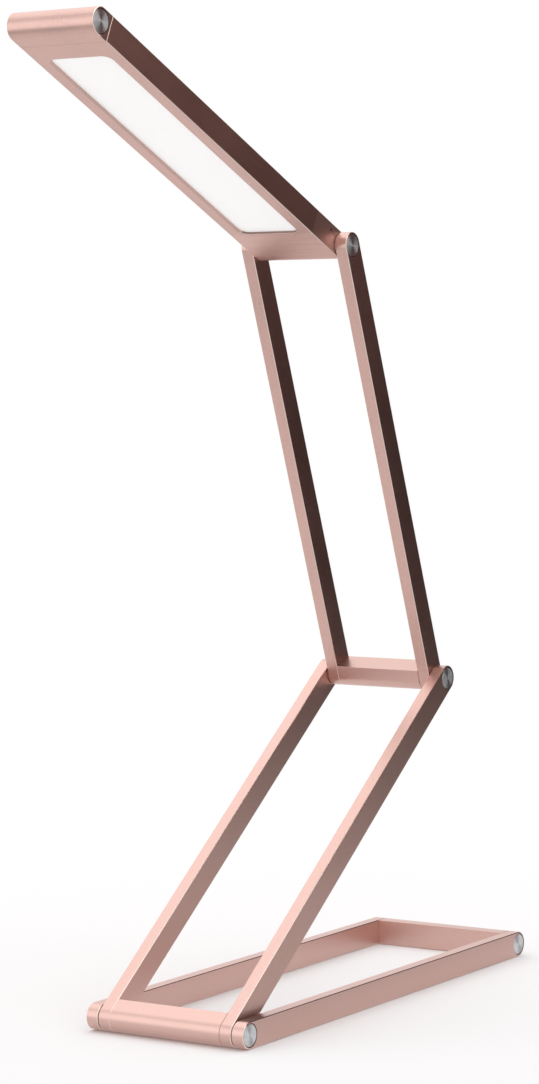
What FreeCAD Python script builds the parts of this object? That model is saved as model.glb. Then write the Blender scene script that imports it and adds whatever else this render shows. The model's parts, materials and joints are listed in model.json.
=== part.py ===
"""Accordion desk lamp: four flat frames that fold into one another on three friction hinges.

The base frame lies on the table. The lower arm, the upper arm and the LED head each fit inside the
frame before, so that the folded lamp is one slab as high as a single bar.

Every link is drawn in its own frame: x runs from the link's lower hinge axis to its upper one, y across
its height, and z along the hinge axes, with the lamp's middle plane at z = 0. The head's light panel
faces its +y side. Lengths are millimetres and angles degrees.
"""

import FreeCAD, Part
import math
import os
import Sketcher

# name, value, meaning
DIMENSIONS = [
    # the four nested frames
    ("frame_height", 12.0, "height of every bar, and of the folded lamp"),
    ("rail_thickness", 6.0, "thickness of the side rails"),
    ("base_width", 83.0, "width over the base rails"),
    ("base_axis_length", 244.0, "base hinge axis to end bar axis"),
    ("side_gap", 0.5, "running gap between nested rails"),
    ("end_gap", 1.0, "gap from a folded frame's end to the bar beyond it"),
    ("bar_depth", 12.0, "depth of a cross bar, round face to flat face"),
    ("edge_chamfer", 0.3, "bright chamfer round the side faces"),
    # the pose it stands in
    ("base_opening", 36.5, "angle between the base and the lower arm"),
    ("middle_opening", 106.6, "angle between the two arms"),
    ("head_opening", 135.0, "angle between the upper arm and the head"),
    # turned discs, screws and washers
    ("recess_margin", 0.65, "metal left round a disc's recess at a rounded end"),
    ("ring_gap", 0.15, "open ring round a disc"),
    ("disc_sink", 0.1, "disc face below the rail's side face"),
    ("disc_thickness", 0.8, "turned cover disc"),
    ("head_clearance", 0.7, "screw head inside its recess"),
    ("screw_head_height", 1.6, "screw head"),
    ("key_width", 2.5, "hexagon key, across flats"),
    ("key_depth", 1.0, "depth of the hexagon key's hole"),
    ("dish_height", 0.5, "height of the dished spring washer"),
    ("dish_plate", 0.25, "sheet of the dished spring washer"),
    ("shoulder_radius", 2.5, "screw shoulder that the outer rail turns on"),
    ("running_clearance", 0.05, "radial play of the shoulder in its bore"),
    ("thread_radius", 1.5, "screw thread, outer radius"),
    ("hole_clearance", 0.1, "radial play of a thread in a plain hole"),
    ("insert_wall", 0.8, "wall of the threaded insert"),
    ("insert_length", 5.0, "length of the threaded insert"),
    ("insert_gap", 0.3, "space behind the insert in its blind hole"),
    ("thread_end_gap", 0.5, "insert length left beyond the thread's end"),
    ("washer_margin", 1.0, "friction washer's rim inside the rounded end"),
    ("seat_clearance", 0.05, "play of a piece in its seat"),
    ("tongue_length", 1.2, "square tongue on a bar's end"),
    ("tongue_margin", 0.35, "metal between the tongue's corners and the rounded end"),
    # soft pads under the base rails
    ("pad_length", 24.0, "length of a foot pad"),
    ("pad_width", 4.0, "width of a foot pad"),
    ("pad_thickness", 0.8, "thickness of a foot pad"),
    ("pad_proud", 0.3, "how far a foot pad stands below its rail"),
    ("pad_inset", 30.0, "pad's middle from the nearer end axis"),
    # the head's casing and end cap
    ("casing_side", 2.0, "side wall of the casing"),
    ("casing_back", 1.2, "back wall of the casing"),
    ("window_depth", 1.3, "wall round the light window"),
    ("cavity_start", 8.0, "solid hinge end, from the hinge axis"),
    ("cap_seam", 6.5, "seam of the end cap, from the tip axis"),
    ("window_start", 25.0, "light window's near end, from the hinge axis"),
    ("window_end_margin", 11.1, "light window's far end to the cap's seam"),
    ("window_side_margin", 6.3, "light window to the casing's side face"),
    ("window_corner", 4.0, "corner radius of the light window"),
    ("window_lip", 3.0, "how far the diffuser runs under the window's ends"),
    ("spigot_length", 6.0, "end cap's spigot in the casing"),
    ("spigot_wall", 1.9, "side wall of the hollow spigot"),
    ("spigot_pocket", 6.0, "height of the spigot's pocket"),
    ("fit_clearance", 0.1, "play of a piece in the casing"),
    ("optics_clearance", 0.2, "play of the optical sheets at the casing's sides"),
    # light and power inside the head
    ("diffuser_thickness", 1.2, "opal diffuser"),
    ("guide_thickness", 2.5, "acrylic light guide"),
    ("reflector_thickness", 0.3, "white reflector sheet"),
    ("strip_thickness", 0.4, "flexible board of the LED strip"),
    ("chip_depth", 1.0, "LED chip, from the strip"),
    ("chip_length", 3.5, "LED chip, along the strip"),
    ("chip_height", 2.0, "LED chip, across the strip"),
    ("chip_air", 0.1, "air between the chips and the light guide"),
    ("chip_count", 18, "LED chips in the strip"),
    ("strip_inset", 2.0, "LED strip's ends inside the light guide's"),
    ("battery_end_gap", 13.5, "flat battery to the end cap's spigot"),
    ("battery_side_gap", 3.0, "flat battery to the casing's sides"),
    ("battery_thickness", 4.0, "flat battery"),
    ("battery_gap", 4.0, "circuit board's end to the battery"),
    ("tape_thickness", 0.5, "adhesive pad behind the battery"),
    ("board_start", 9.0, "circuit board's near end, from the hinge axis"),
    ("board_length", 38.0, "circuit board"),
    ("board_clearance", 0.3, "circuit board to the casing's sides"),
    ("board_thickness", 1.0, "circuit board"),
    ("boss_height", 2.2, "bosses under the circuit board"),
    ("boss_radius", 2.0, "bosses under the circuit board"),
    ("boss_inset", 5.0, "bosses from the circuit board's ends"),
    ("small_thread_radius", 0.7, "circuit board screw"),
    ("small_head_radius", 1.4, "circuit board screw"),
    ("small_head_height", 0.7, "circuit board screw"),
    ("small_thread_length", 2.7, "circuit board screw"),
    ("component_height", 1.1, "components on the circuit board"),
    ("charger_width", 4.0, "charging chip, square"),
    ("charger_place", 24.0, "charging chip's middle, from the board's near end"),
    ("driver_width", 5.0, "LED driver's coil, square"),
    ("driver_place", 23.0, "LED driver's middle, from the board's near end"),
    ("touch_chip_width", 3.0, "touch sensing chip, square"),
    ("touch_chip_place", 31.5, "touch sensing chip's middle, from the board's near end"),
    ("chip_offset", 10.0, "middles of the board's chips, from the lamp's middle plane"),
    ("inlet_place", 14.8, "charging inlet's middle, from the hinge axis"),
    ("inlet_width", 9.0, "charging inlet's shell"),
    ("inlet_height", 3.2, "charging inlet's shell"),
    ("inlet_depth", 7.3, "charging inlet's shell"),
    ("inlet_sheet", 0.3, "sheet of the inlet's shell"),
    ("inlet_sink", 0.2, "inlet's mouth below the side face"),
    ("inlet_tongue", 0.7, "contact tongue inside the inlet"),
    ("inlet_tongue_margin", 1.2, "contact tongue to the inlet's round ends"),
    ("light_place", 10.4, "charge light's hole, from the hinge axis"),
    ("light_height", 2.9, "charge light's hole, from the middle towards the back"),
    ("light_radius", 0.75, "charge light's pipe"),
    ("light_air", 0.2, "light pipe to the circuit board's edge"),
    ("insulator_thickness", 0.5, "insulating washer behind the touch disc"),
    ("stem_radius", 1.0, "stem of the touch disc"),
    ("sleeve_wall", 0.7, "insulating sleeve round the stem"),
    ("contact_sheet", 0.3, "spring contact behind the stem"),
    ("contact_reach", 1.4, "spring contact beyond the stem's axis"),
    ("contact_tail", 1.5, "spring contact beyond the spigot's end"),
    ("wire_radius", 0.4, "insulated wire in the head"),
    ("battery_lead_spread", 8.5, "distance between the two battery wires"),
    ("thin_wire_radius", 0.25, "wire of the LED strip"),
    ("thin_wire_bend", 0.75, "bend radius of the LED strip's wires"),
    ("thin_wire_gap", 0.25, "nearer of the LED strip's wires to the optical sheets"),
    ("thin_wire_pitch", 1.0, "distance between the two wires of the LED strip"),
]

MILLIMETRE_TOLERANCE = 1e-6
# a sketch numbers its own x axis -1 and its y axis -2; each coordinate is zero on one of them
ROOT_AXES = ("DistanceY", "DistanceX")


class Size:
    """A length with its value and the formula that ties it to the sheet of dimensions."""

    def __init__(self, value, formula):
        self.value = float(value)
        self.formula = formula

    def __add__(self, other):
        other = as_size(other)
        return Size(self.value + other.value, f"({self.formula} + {other.formula})")

    def __sub__(self, other):
        other = as_size(other)
        return Size(self.value - other.value, f"({self.formula} - {other.formula})")

    def __mul__(self, number):
        return Size(self.value * number, f"({self.formula} * {number})")

    def __truediv__(self, number):
        return Size(self.value / number, f"({self.formula} / {number})")

    def __neg__(self):
        return Size(-self.value, f"(0 - {self.formula})")


def as_size(length):
    """A plain number as a Size."""
    if isinstance(length, Size):
        return length
    return Size(length, f"{length}")


ZERO = as_size(0.0)


# ---------------------------------------------------------------- document and sheet

doc = FreeCAD.newDocument("AccordionDeskLamp")


def make_sheet():
    """The sheet of driving dimensions, and each of them as a Size."""
    sheet = doc.addObject("Spreadsheet::Sheet", "Sizes")
    for row, (name, value, meaning) in enumerate(DIMENSIONS, start=1):
        sheet.set(f"A{row}", meaning)
        sheet.set(f"B{row}", str(value))
        sheet.setAlias(f"B{row}", name)
    doc.recompute()
    return {name: Size(sheet.get(name), f"Sizes.{name}") for name, value, meaning in DIMENSIONS}


size = make_sheet()

# sizes that follow from the driving dimensions
half_height = size["frame_height"] / 2
half_base_width = size["base_width"] / 2
nest_step = size["rail_thickness"] + size["side_gap"]
half_lower_width = half_base_width - nest_step
half_upper_width = half_lower_width - nest_step
half_head_width = half_upper_width - nest_step
link_step = size["bar_depth"] + size["end_gap"]
lower_axis_length = size["base_axis_length"] - link_step
upper_axis_length = lower_axis_length - link_step
head_axis_length = upper_axis_length - link_step
bar_face = size["bar_depth"] - half_height

recess_radius = half_height - size["recess_margin"]
disc_radius = recess_radius - size["ring_gap"]
screw_head_radius = recess_radius - size["head_clearance"]
screw_head_top = size["disc_sink"] + size["disc_thickness"]
screw_head_foot = screw_head_top + size["screw_head_height"]
pivot_recess = screw_head_foot + size["dish_height"]
bore_radius = size["shoulder_radius"] + size["running_clearance"]
plain_hole_radius = size["thread_radius"] + size["hole_clearance"]
insert_radius = size["thread_radius"] + size["insert_wall"]
insert_bore_radius = size["thread_radius"] + size["seat_clearance"]
insert_hole_radius = insert_radius + size["seat_clearance"]
insert_hole_depth = size["insert_length"] + size["insert_gap"]
tongue_half = (half_height - size["tongue_margin"]) * round(math.sqrt(0.5), 4)
tongue_seat_half = tongue_half + size["seat_clearance"]
tongue_seat_depth = size["tongue_length"] + size["seat_clearance"]
tongue_face = size["rail_thickness"] - size["tongue_length"]
thread_reach = size["insert_length"] - size["thread_end_gap"]
washer_radius = half_height - size["washer_margin"]
pad_sink = size["pad_thickness"] - size["pad_proud"]
half_pad = size["pad_length"] / 2 - size["pad_width"] / 2

cap_seam = head_axis_length - size["cap_seam"]
half_cavity_width = half_head_width - size["casing_side"]
cavity_back = size["casing_back"] - half_height
cavity_face = half_height - size["window_depth"]
window_end = cap_seam - size["window_end_margin"]
half_window_width = half_head_width - size["window_side_margin"]
optics_start = size["window_start"] - size["window_lip"]
optics_end = window_end + size["window_lip"]
optics_side = half_cavity_width - size["optics_clearance"]
diffuser_back = cavity_face - size["diffuser_thickness"]
guide_back = diffuser_back - size["guide_thickness"]
reflector_back = guide_back - size["reflector_thickness"]
battery_back = cavity_back + size["tape_thickness"]
battery_face = battery_back + size["battery_thickness"]
board_back = cavity_back + size["boss_height"]
board_face = board_back + size["board_thickness"]
board_middle = board_back + size["board_thickness"] / 2
board_end = size["board_start"] + size["board_length"]
board_side = half_cavity_width - size["board_clearance"]
battery_start = board_end + size["battery_gap"]
battery_side = half_cavity_width - size["battery_side_gap"]
strip_face = half_cavity_width - size["strip_thickness"]
chip_face = strip_face - size["chip_depth"]
guide_edge = chip_face - size["chip_air"]
strip_start = optics_start + size["strip_inset"]
strip_end = optics_end - size["strip_inset"]
spigot_end = cap_seam - size["spigot_length"]
battery_end = spigot_end - size["battery_end_gap"]
pocket_half_width = half_cavity_width - size["fit_clearance"] - size["spigot_wall"]
touch_recess = screw_head_top + size["insulator_thickness"]
contact_start = spigot_end - size["contact_tail"]


# ---------------------------------------------------------------- drawing helpers


def new_body(name):
    """An empty body for one sub-part."""
    body = doc.addObject("PartDesign::Body", name)
    body.Label = name
    return body


def origin_plane(body, role):
    """One of the body's own three planes."""
    return [plane for plane in body.Origin.OriginFeatures if plane.Role == role][0]


def new_sketch(body, role="XY_Plane", height=None, shift=None):
    """A sketch on one of the body's planes, lifted along its normal and shifted along its own y."""
    sketch = body.newObject("Sketcher::SketchObject", "Sketch")
    sketch.AttachmentSupport = (origin_plane(body, role), [""])
    sketch.MapMode = "FlatFace"
    if height is not None:
        sketch.setExpression(".AttachmentOffset.Base.z", height.formula)
    if shift is not None:
        sketch.setExpression(".AttachmentOffset.Base.y", shift.formula)
    return sketch


def hold_coordinate(sketch, kind, geometry, point, length):
    """Tie one coordinate of a sketch point to a size."""
    if abs(length.value) < MILLIMETRE_TOLERANCE and length is ZERO:
        axis = -1 - ROOT_AXES.index(kind)
        sketch.addConstraint(Sketcher.Constraint("PointOnObject", geometry, point, axis))
        return
    index = sketch.addConstraint(Sketcher.Constraint(kind, geometry, point, length.value))
    sketch.setExpression(f"Constraints[{index}]", length.formula)


def draw_outline(sketch, corners):
    """A closed outline through corners (x, y) or (x, y, centre x, centre y).

    A corner with a centre starts an arc, counter-clockwise to the next corner; the others start lines.
    """
    count = len(corners)
    first = sketch.GeometryCount
    for index, corner in enumerate(corners):
        following = corners[(index + 1) % count]
        start = FreeCAD.Vector(corner[0].value, corner[1].value, 0)
        end = FreeCAD.Vector(following[0].value, following[1].value, 0)
        if len(corner) == 2:
            sketch.addGeometry(Part.LineSegment(start, end), False)
            continue
        centre = FreeCAD.Vector(corner[2].value, corner[3].value, 0)
        circle = Part.Circle(centre, FreeCAD.Vector(0, 0, 1), (start - centre).Length)
        angles = [math.atan2(point.y - centre.y, point.x - centre.x) for point in (start, end)]
        sketch.addGeometry(Part.ArcOfCircle(circle, angles[0], angles[1]), False)
    for index, corner in enumerate(corners):
        following = corners[(index + 1) % count]
        edge = first + index
        next_edge = first + (index + 1) % count
        sketch.addConstraint(Sketcher.Constraint("Coincident", edge, 2, next_edge, 1))
        hold_coordinate(sketch, "DistanceX", edge, 1, corner[0])
        hold_coordinate(sketch, "DistanceY", edge, 1, corner[1])
        if len(corner) == 4:
            wide = abs(following[0].value - corner[0].value) > abs(following[1].value - corner[1].value)
            kind = "DistanceY" if wide else "DistanceX"
            hold_coordinate(sketch, kind, edge, 3, corner[3] if wide else corner[2])


def draw_rectangle(sketch, left, right, low, high):
    """A rectangle by its four sides."""
    draw_outline(sketch, [(left, low), (right, low), (right, high), (left, high)])


def draw_rounded_rectangle(sketch, left, right, low, high, radius):
    """A rectangle with rounded corners."""
    corners = [
        (left + radius, low),
        (right - radius, low, right - radius, low + radius),
        (right, low + radius),
        (right, high - radius, right - radius, high - radius),
        (right - radius, high),
        (left + radius, high, left + radius, high - radius),
        (left, high - radius),
        (left, low + radius, left + radius, low + radius),
    ]
    draw_outline(sketch, corners)


def draw_slot(sketch, left, right, middle, radius):
    """A slot with round ends about two centres."""
    corners = [
        (left, middle - radius),
        (right, middle - radius, right, middle),
        (right, middle + radius),
        (left, middle + radius, left, middle),
    ]
    draw_outline(sketch, corners)


def draw_circle(sketch, across, up, radius):
    """A circle about a centre."""
    centre = FreeCAD.Vector(across.value, up.value, 0)
    circle = Part.Circle(centre, FreeCAD.Vector(0, 0, 1), radius.value)
    geometry = sketch.addGeometry(circle, False)
    hold_coordinate(sketch, "DistanceX", geometry, 3, across)
    hold_coordinate(sketch, "DistanceY", geometry, 3, up)
    index = sketch.addConstraint(Sketcher.Constraint("Radius", geometry, radius.value))
    sketch.setExpression(f"Constraints[{index}]", radius.formula)


def pad(body, sketch, length, along_normal=True):
    """Add a sketch's outline as material."""
    feature = body.newObject("PartDesign::Pad", "Pad")
    feature.Profile = sketch
    feature.Reversed = not along_normal
    feature.setExpression("Length", length.formula)
    return feature


def pocket(body, sketch, depth, along_normal):
    """Cut a sketch's outline out of the body."""
    feature = body.newObject("PartDesign::Pocket", "Pocket")
    feature.Profile = sketch
    feature.Reversed = along_normal
    feature.setExpression("Length", depth.formula)
    return feature


def pocket_through(body, sketch):
    """Cut a sketch's outline right through the body, both ways."""
    feature = body.newObject("PartDesign::Pocket", "Hole")
    feature.Profile = sketch
    feature.Type = "ThroughAll"
    feature.SideType = "Symmetric"
    return feature


def turn(body, sketch):
    """Turn a sketch's outline about the body's z axis."""
    feature = body.newObject("PartDesign::Revolution", "Revolution")
    feature.Profile = sketch
    feature.ReferenceAxis = (sketch, ["V_Axis"])
    feature.Angle = 360
    return feature


def chamfer_side_outlines(body, feature):
    """Chamfer the outlines of the two side faces, which stand square to z."""
    doc.recompute()
    names = []
    for index, edge in enumerate(feature.Shape.Edges, start=1):
        if edge.BoundBox.ZLength < MILLIMETRE_TOLERANCE:
            names.append(f"Edge{index}")
    chamfer = body.newObject("PartDesign::Chamfer", "Chamfer")
    chamfer.Base = (feature, names)
    chamfer.setExpression("Size", size["edge_chamfer"].formula)
    return chamfer


def mirror_to_left(body, features):
    """Repeat features on the other side of the lamp's middle plane."""
    mirrored = body.newObject("PartDesign::Mirrored", "Mirrored")
    mirrored.Originals = features
    mirrored.MirrorPlane = (origin_plane(body, "XY_Plane"), [""])
    body.Tip = mirrored
    return mirrored


# ---------------------------------------------------------------- places of the four links


def direction(degrees):
    """The way a link points, in the lamp's side view."""
    angle = math.radians(degrees)
    return FreeCAD.Vector(math.cos(angle), 0, math.sin(angle))


lower_angle = size["base_opening"].value
upper_angle = lower_angle + 180.0 - size["middle_opening"].value
head_angle = upper_angle + 180.0 - size["head_opening"].value

# side view with the base hinge at x = 0, then moved so that the lamp's box is centred over the origin
axis_height = half_height.value + size["pad_proud"].value
base_hinge = FreeCAD.Vector(0, 0, axis_height)
middle_hinge = base_hinge + direction(lower_angle) * lower_axis_length.value
head_hinge = middle_hinge + direction(upper_angle) * upper_axis_length.value
head_tip = head_hinge + direction(head_angle) * head_axis_length.value
back_end = size["base_axis_length"].value + half_height.value
front_end = min(head_tip.x, 0.0) - half_height.value
to_origin = FreeCAD.Vector(-(front_end + back_end) / 2, 0, 0)


def link_place(hinge, degrees):
    """Placement of a link: its x axis along the link, its z axis along the hinge."""
    upright = FreeCAD.Rotation(FreeCAD.Vector(1, 0, 0), 90)
    tilt = FreeCAD.Rotation(FreeCAD.Vector(0, 1, 0), -degrees)
    return FreeCAD.Placement(hinge + to_origin, tilt.multiply(upright))


PLACES = {
    "base": link_place(base_hinge, 0.0),
    "lower": link_place(base_hinge, lower_angle),
    "upper": link_place(middle_hinge, upper_angle),
    "head": link_place(head_hinge, head_angle),
}

nodes = []


def finish(body, link):
    """Put a finished sub-part in its place on the lamp."""
    body.Placement = PLACES[link]
    nodes.append(body)


# ---------------------------------------------------------------- rails and cross bars


def add_side_hole(body, side, half_width, across, radius, depth):
    """A round recess in a link's side face, at the link's middle height."""
    face = half_width * side
    sketch = new_sketch(body, height=face)
    draw_circle(sketch, across, ZERO, radius)
    return pocket(body, sketch, depth, along_normal=side < 0)


def add_through_hole(body, across, radius):
    """A round hole along the hinge axis."""
    sketch = new_sketch(body)
    draw_circle(sketch, across, ZERO, radius)
    return pocket_through(body, sketch)


def add_tongue_seat(body, side, half_width, across):
    """The square seat of a bar's tongue, in a rail's inner face."""
    inner_face = (half_width - size["rail_thickness"]) * side
    sketch = new_sketch(body, height=inner_face)
    reach = tongue_seat_half
    draw_rectangle(sketch, across - reach, across + reach, -reach, reach)
    pocket(body, sketch, tongue_seat_depth, along_normal=side > 0)


def start_rail(name, side, half_width, axis_length):
    """A flat rail with fully rounded ends and chamfered side faces."""
    body = new_body(name)
    sketch = new_sketch(body, height=half_width * side)
    draw_slot(sketch, ZERO, axis_length, ZERO, half_height)
    blank = pad(body, sketch, size["rail_thickness"], along_normal=side < 0)
    chamfer_side_outlines(body, blank)
    return body


def add_pivot(body, side, half_width, across):
    """A hinge's seat in a rail: the disc's recess and the bore for the screw's shoulder."""
    add_side_hole(body, side, half_width, across, recess_radius, pivot_recess)
    add_through_hole(body, across, bore_radius)


def add_pad_seats(body, half_width, side):
    """Shallow slots for the foot pads in the rail's underside."""
    sketch = new_sketch(body, "XZ_Plane", height=half_height)
    middle = (half_width - size["rail_thickness"] / 2) * side
    radius = size["pad_width"] / 2 + size["seat_clearance"]
    for centre in (size["pad_inset"], size["base_axis_length"] - size["pad_inset"]):
        draw_slot(sketch, centre - half_pad, centre + half_pad, middle, radius)
    pocket(body, sketch, pad_sink, along_normal=False)


def make_base_rail(name, side):
    """A base rail: hinge seat near the user, end bar screwed on at the far end."""
    far = size["base_axis_length"]
    body = start_rail(name, side, half_base_width, far)
    add_pivot(body, side, half_base_width, ZERO)
    add_side_hole(body, side, half_base_width, far, recess_radius, screw_head_foot)
    add_through_hole(body, far, plain_hole_radius)
    add_tongue_seat(body, side, half_base_width, far)
    add_pad_seats(body, half_base_width, side)
    finish(body, "base")


def make_arm_rail(name, link, side, half_width, axis_length):
    """An arm rail: fixed to its cross bar at the lower end, hinge seat at the upper end."""
    body = start_rail(name, side, half_width, axis_length)
    add_through_hole(body, ZERO, plain_hole_radius)
    add_tongue_seat(body, side, half_width, ZERO)
    add_pivot(body, side, half_width, axis_length)
    finish(body, link)


def make_cross_bar(name, link, half_width, across, round_side):
    """A cross bar between two rails: round outside, flat inside, with a square tongue at each end."""
    body = new_body(name)
    half_span = half_width - size["rail_thickness"]
    flat_face = across - bar_face * round_side
    sketch = new_sketch(body, height=-half_span)
    if round_side < 0:
        corners = [
            (across, half_height, across, ZERO),
            (across, -half_height),
            (flat_face, -half_height),
            (flat_face, half_height),
        ]
    else:
        corners = [
            (across, -half_height, across, ZERO),
            (across, half_height),
            (flat_face, half_height),
            (flat_face, -half_height),
        ]
    draw_outline(sketch, corners)
    pad(body, sketch, half_span * 2)
    for side in (-1, 1):
        sketch = new_sketch(body, height=half_span * side)
        draw_rectangle(sketch, across - tongue_half, across + tongue_half, -tongue_half, tongue_half)
        pad(body, sketch, size["tongue_length"], along_normal=side > 0)
    for side in (-1, 1):
        tongue_end = half_span + size["tongue_length"]
        add_side_hole(body, side, tongue_end, across, insert_hole_radius, insert_hole_depth)
    finish(body, link)


# ---------------------------------------------------------------- hinge and fixing hardware


def make_turned_pair(name, link, across, face, outline):
    """Two equal turned pieces, left and right, from an outline of (radius, depth below the side face)."""
    body = new_body(name)
    sketch = new_sketch(body, "XZ_Plane", shift=face)
    draw_outline(sketch, [(radius, -depth) for radius, depth in outline])
    right = turn(body, sketch)
    mirror_to_left(body, [right])
    place_at = FreeCAD.Placement(FreeCAD.Vector(across.value, 0, 0), FreeCAD.Rotation())
    body.Placement = PLACES[link].multiply(place_at)
    nodes.append(body)
    return body, right


def make_discs(name, link, across, face):
    """The turned cover discs seen in the side faces."""
    bevel = size["ring_gap"]
    outline = [
        (ZERO, size["disc_sink"]),
        (ZERO, screw_head_top),
        (disc_radius, screw_head_top),
        (disc_radius, size["disc_sink"] + bevel),
        (disc_radius - bevel, size["disc_sink"]),
    ]
    make_turned_pair(name, link, across, face, outline)


def add_key_hole(body, face):
    """A hexagonal key hole in the top of both screw heads."""
    holes = []
    half_flats = size["key_width"] / 2
    corner = size["key_width"] * round(1 / math.sqrt(3), 4)
    corners = [
        (corner, ZERO),
        (corner / 2, half_flats),
        (-corner / 2, half_flats),
        (-corner, ZERO),
        (-corner / 2, -half_flats),
        (corner / 2, -half_flats),
    ]
    for side in (-1, 1):
        sketch = new_sketch(body, height=(face - screw_head_top) * side)
        draw_outline(sketch, corners)
        holes.append(pocket(body, sketch, size["key_depth"], along_normal=side < 0))
    body.Tip = holes[-1]


def make_pivot_screws(name, link, across, face, thread_length):
    """Shoulder screws: the outer rail turns on the shoulder, the thread grips the inner link."""
    shoulder_end = size["rail_thickness"] + size["side_gap"]
    thread_end = shoulder_end + thread_length
    tip = size["edge_chamfer"]
    outline = [
        (ZERO, screw_head_top),
        (ZERO, thread_end),
        (size["thread_radius"] - tip, thread_end),
        (size["thread_radius"], thread_end - tip),
        (size["thread_radius"], shoulder_end),
        (size["shoulder_radius"], shoulder_end),
        (size["shoulder_radius"], screw_head_foot),
        (screw_head_radius, screw_head_foot),
        (screw_head_radius, screw_head_top),
    ]
    body, _ = make_turned_pair(name, link, across, face, outline)
    add_key_hole(body, face)


def make_end_screws(name, link, across, face):
    """Plain screws that hold the end bar between the base rails."""
    thread_end = tongue_face + thread_reach
    tip = size["edge_chamfer"]
    outline = [
        (ZERO, screw_head_top),
        (ZERO, thread_end),
        (size["thread_radius"] - tip, thread_end),
        (size["thread_radius"], thread_end - tip),
        (size["thread_radius"], screw_head_foot),
        (screw_head_radius, screw_head_foot),
        (screw_head_radius, screw_head_top),
    ]
    body, _ = make_turned_pair(name, link, across, face, outline)
    add_key_hole(body, face)


def make_dish_washers(name, link, across, face):
    """Dished spring washers that press each hinge together and give it its friction."""
    rise = size["dish_height"] - size["dish_plate"]
    inner = bore_radius
    outer = screw_head_radius
    outline = [
        (inner, screw_head_foot),
        (inner, screw_head_foot + size["dish_plate"]),
        (outer, screw_head_foot + rise + size["dish_plate"]),
        (outer, screw_head_foot + rise),
    ]
    make_turned_pair(name, link, across, face, outline)


def make_friction_washers(name, link, across, face):
    """Flat washers that fill the gap between the outer rail and the inner link."""
    near = size["rail_thickness"]
    far = near + size["side_gap"]
    outline = [(bore_radius, near), (bore_radius, far), (washer_radius, far), (washer_radius, near)]
    make_turned_pair(name, link, across, face, outline)


def make_inserts(name, link, across, face):
    """Threaded steel inserts, flush with the face given."""
    end = size["insert_length"]
    bore = insert_bore_radius
    outline = [(bore, ZERO), (bore, end), (insert_radius, end), (insert_radius, ZERO)]
    make_turned_pair(name, link, across, face, outline)


def make_hinge(prefix, link, outer_face, insert_face, thread_length):
    """All the hardware of one hinge, carried by its inner link, whose lower axis it is on."""
    make_discs(prefix + "_discs", link, ZERO, outer_face)
    make_pivot_screws(prefix + "_screws", link, ZERO, outer_face, thread_length)
    make_dish_washers(prefix + "_spring_washers", link, ZERO, outer_face)
    make_friction_washers(prefix + "_friction_washers", link, ZERO, outer_face)
    make_inserts(prefix + "_inserts", link, ZERO, insert_face)


def make_foot_pads():
    """Four soft pads in the undersides of the base rails."""
    body = new_body("foot_pads")
    sketch = new_sketch(body, "XZ_Plane", height=half_height + size["pad_proud"])
    middle = half_base_width - size["rail_thickness"] / 2
    for centre in (size["pad_inset"], size["base_axis_length"] - size["pad_inset"]):
        draw_slot(sketch, centre - half_pad, centre + half_pad, middle, size["pad_width"] / 2)
    right = pad(body, sketch, size["pad_thickness"], along_normal=False)
    mirror_to_left(body, [right])
    finish(body, "base")


# ---------------------------------------------------------------- the head's shell


def inlet_slot(sketch, play):
    """The charging inlet's outline with round ends, grown by a play."""
    radius = size["inlet_height"] / 2
    straight = size["inlet_width"] / 2 - radius
    middle = board_face + radius
    place = size["inlet_place"]
    draw_slot(sketch, place - straight, place + straight, middle, radius + play)


def board_boss_places():
    """Where the two circuit board screws stand along the head."""
    return (size["board_start"] + size["boss_inset"], board_end - size["boss_inset"])


def make_casing():
    """The head's casing: round hinge end, hollow from the far end, window in its face."""
    body = new_body("head_casing")
    sketch = new_sketch(body, height=-half_head_width)
    corners = [
        (ZERO, half_height, ZERO, ZERO),
        (ZERO, -half_height),
        (cap_seam, -half_height),
        (cap_seam, half_height),
    ]
    draw_outline(sketch, corners)
    chamfer_side_outlines(body, pad(body, sketch, half_head_width * 2))

    sketch = new_sketch(body, height=-half_cavity_width)
    draw_rectangle(sketch, size["cavity_start"], cap_seam, cavity_back, cavity_face)
    pocket(body, sketch, half_cavity_width * 2, along_normal=True)

    # XZ sketches look along -y, so the face with the window is at minus half the height
    sketch = new_sketch(body, "XZ_Plane", height=-half_height)
    draw_rounded_rectangle(
        sketch, size["window_start"], window_end, -half_window_width, half_window_width, size["window_corner"]
    )
    pocket(body, sketch, size["window_depth"], along_normal=True)

    sketch = new_sketch(body, "XZ_Plane", height=-cavity_back)
    for across in board_boss_places():
        draw_circle(sketch, across, ZERO, size["boss_radius"])
    pad(body, sketch, size["boss_height"], along_normal=False)
    sketch = new_sketch(body, "XZ_Plane", height=-board_back)
    for across in board_boss_places():
        draw_circle(sketch, across, ZERO, size["small_thread_radius"] + size["seat_clearance"])
    hole_depth = size["small_thread_length"] - size["board_thickness"] + size["fit_clearance"]
    pocket(body, sketch, hole_depth, along_normal=True)

    for side in (-1, 1):
        add_side_hole(body, side, half_head_width, ZERO, insert_hole_radius, insert_hole_depth)

    sketch = new_sketch(body, height=-half_head_width)
    inlet_slot(sketch, size["fit_clearance"])
    pocket(body, sketch, size["casing_side"], along_normal=True)

    light_hole = size["light_radius"] + size["seat_clearance"]
    sketch = new_sketch(body, height=half_head_width)
    draw_circle(sketch, size["light_place"], -size["light_height"], light_hole)
    pocket(body, sketch, size["casing_side"], along_normal=False)
    finish(body, "head")


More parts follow.
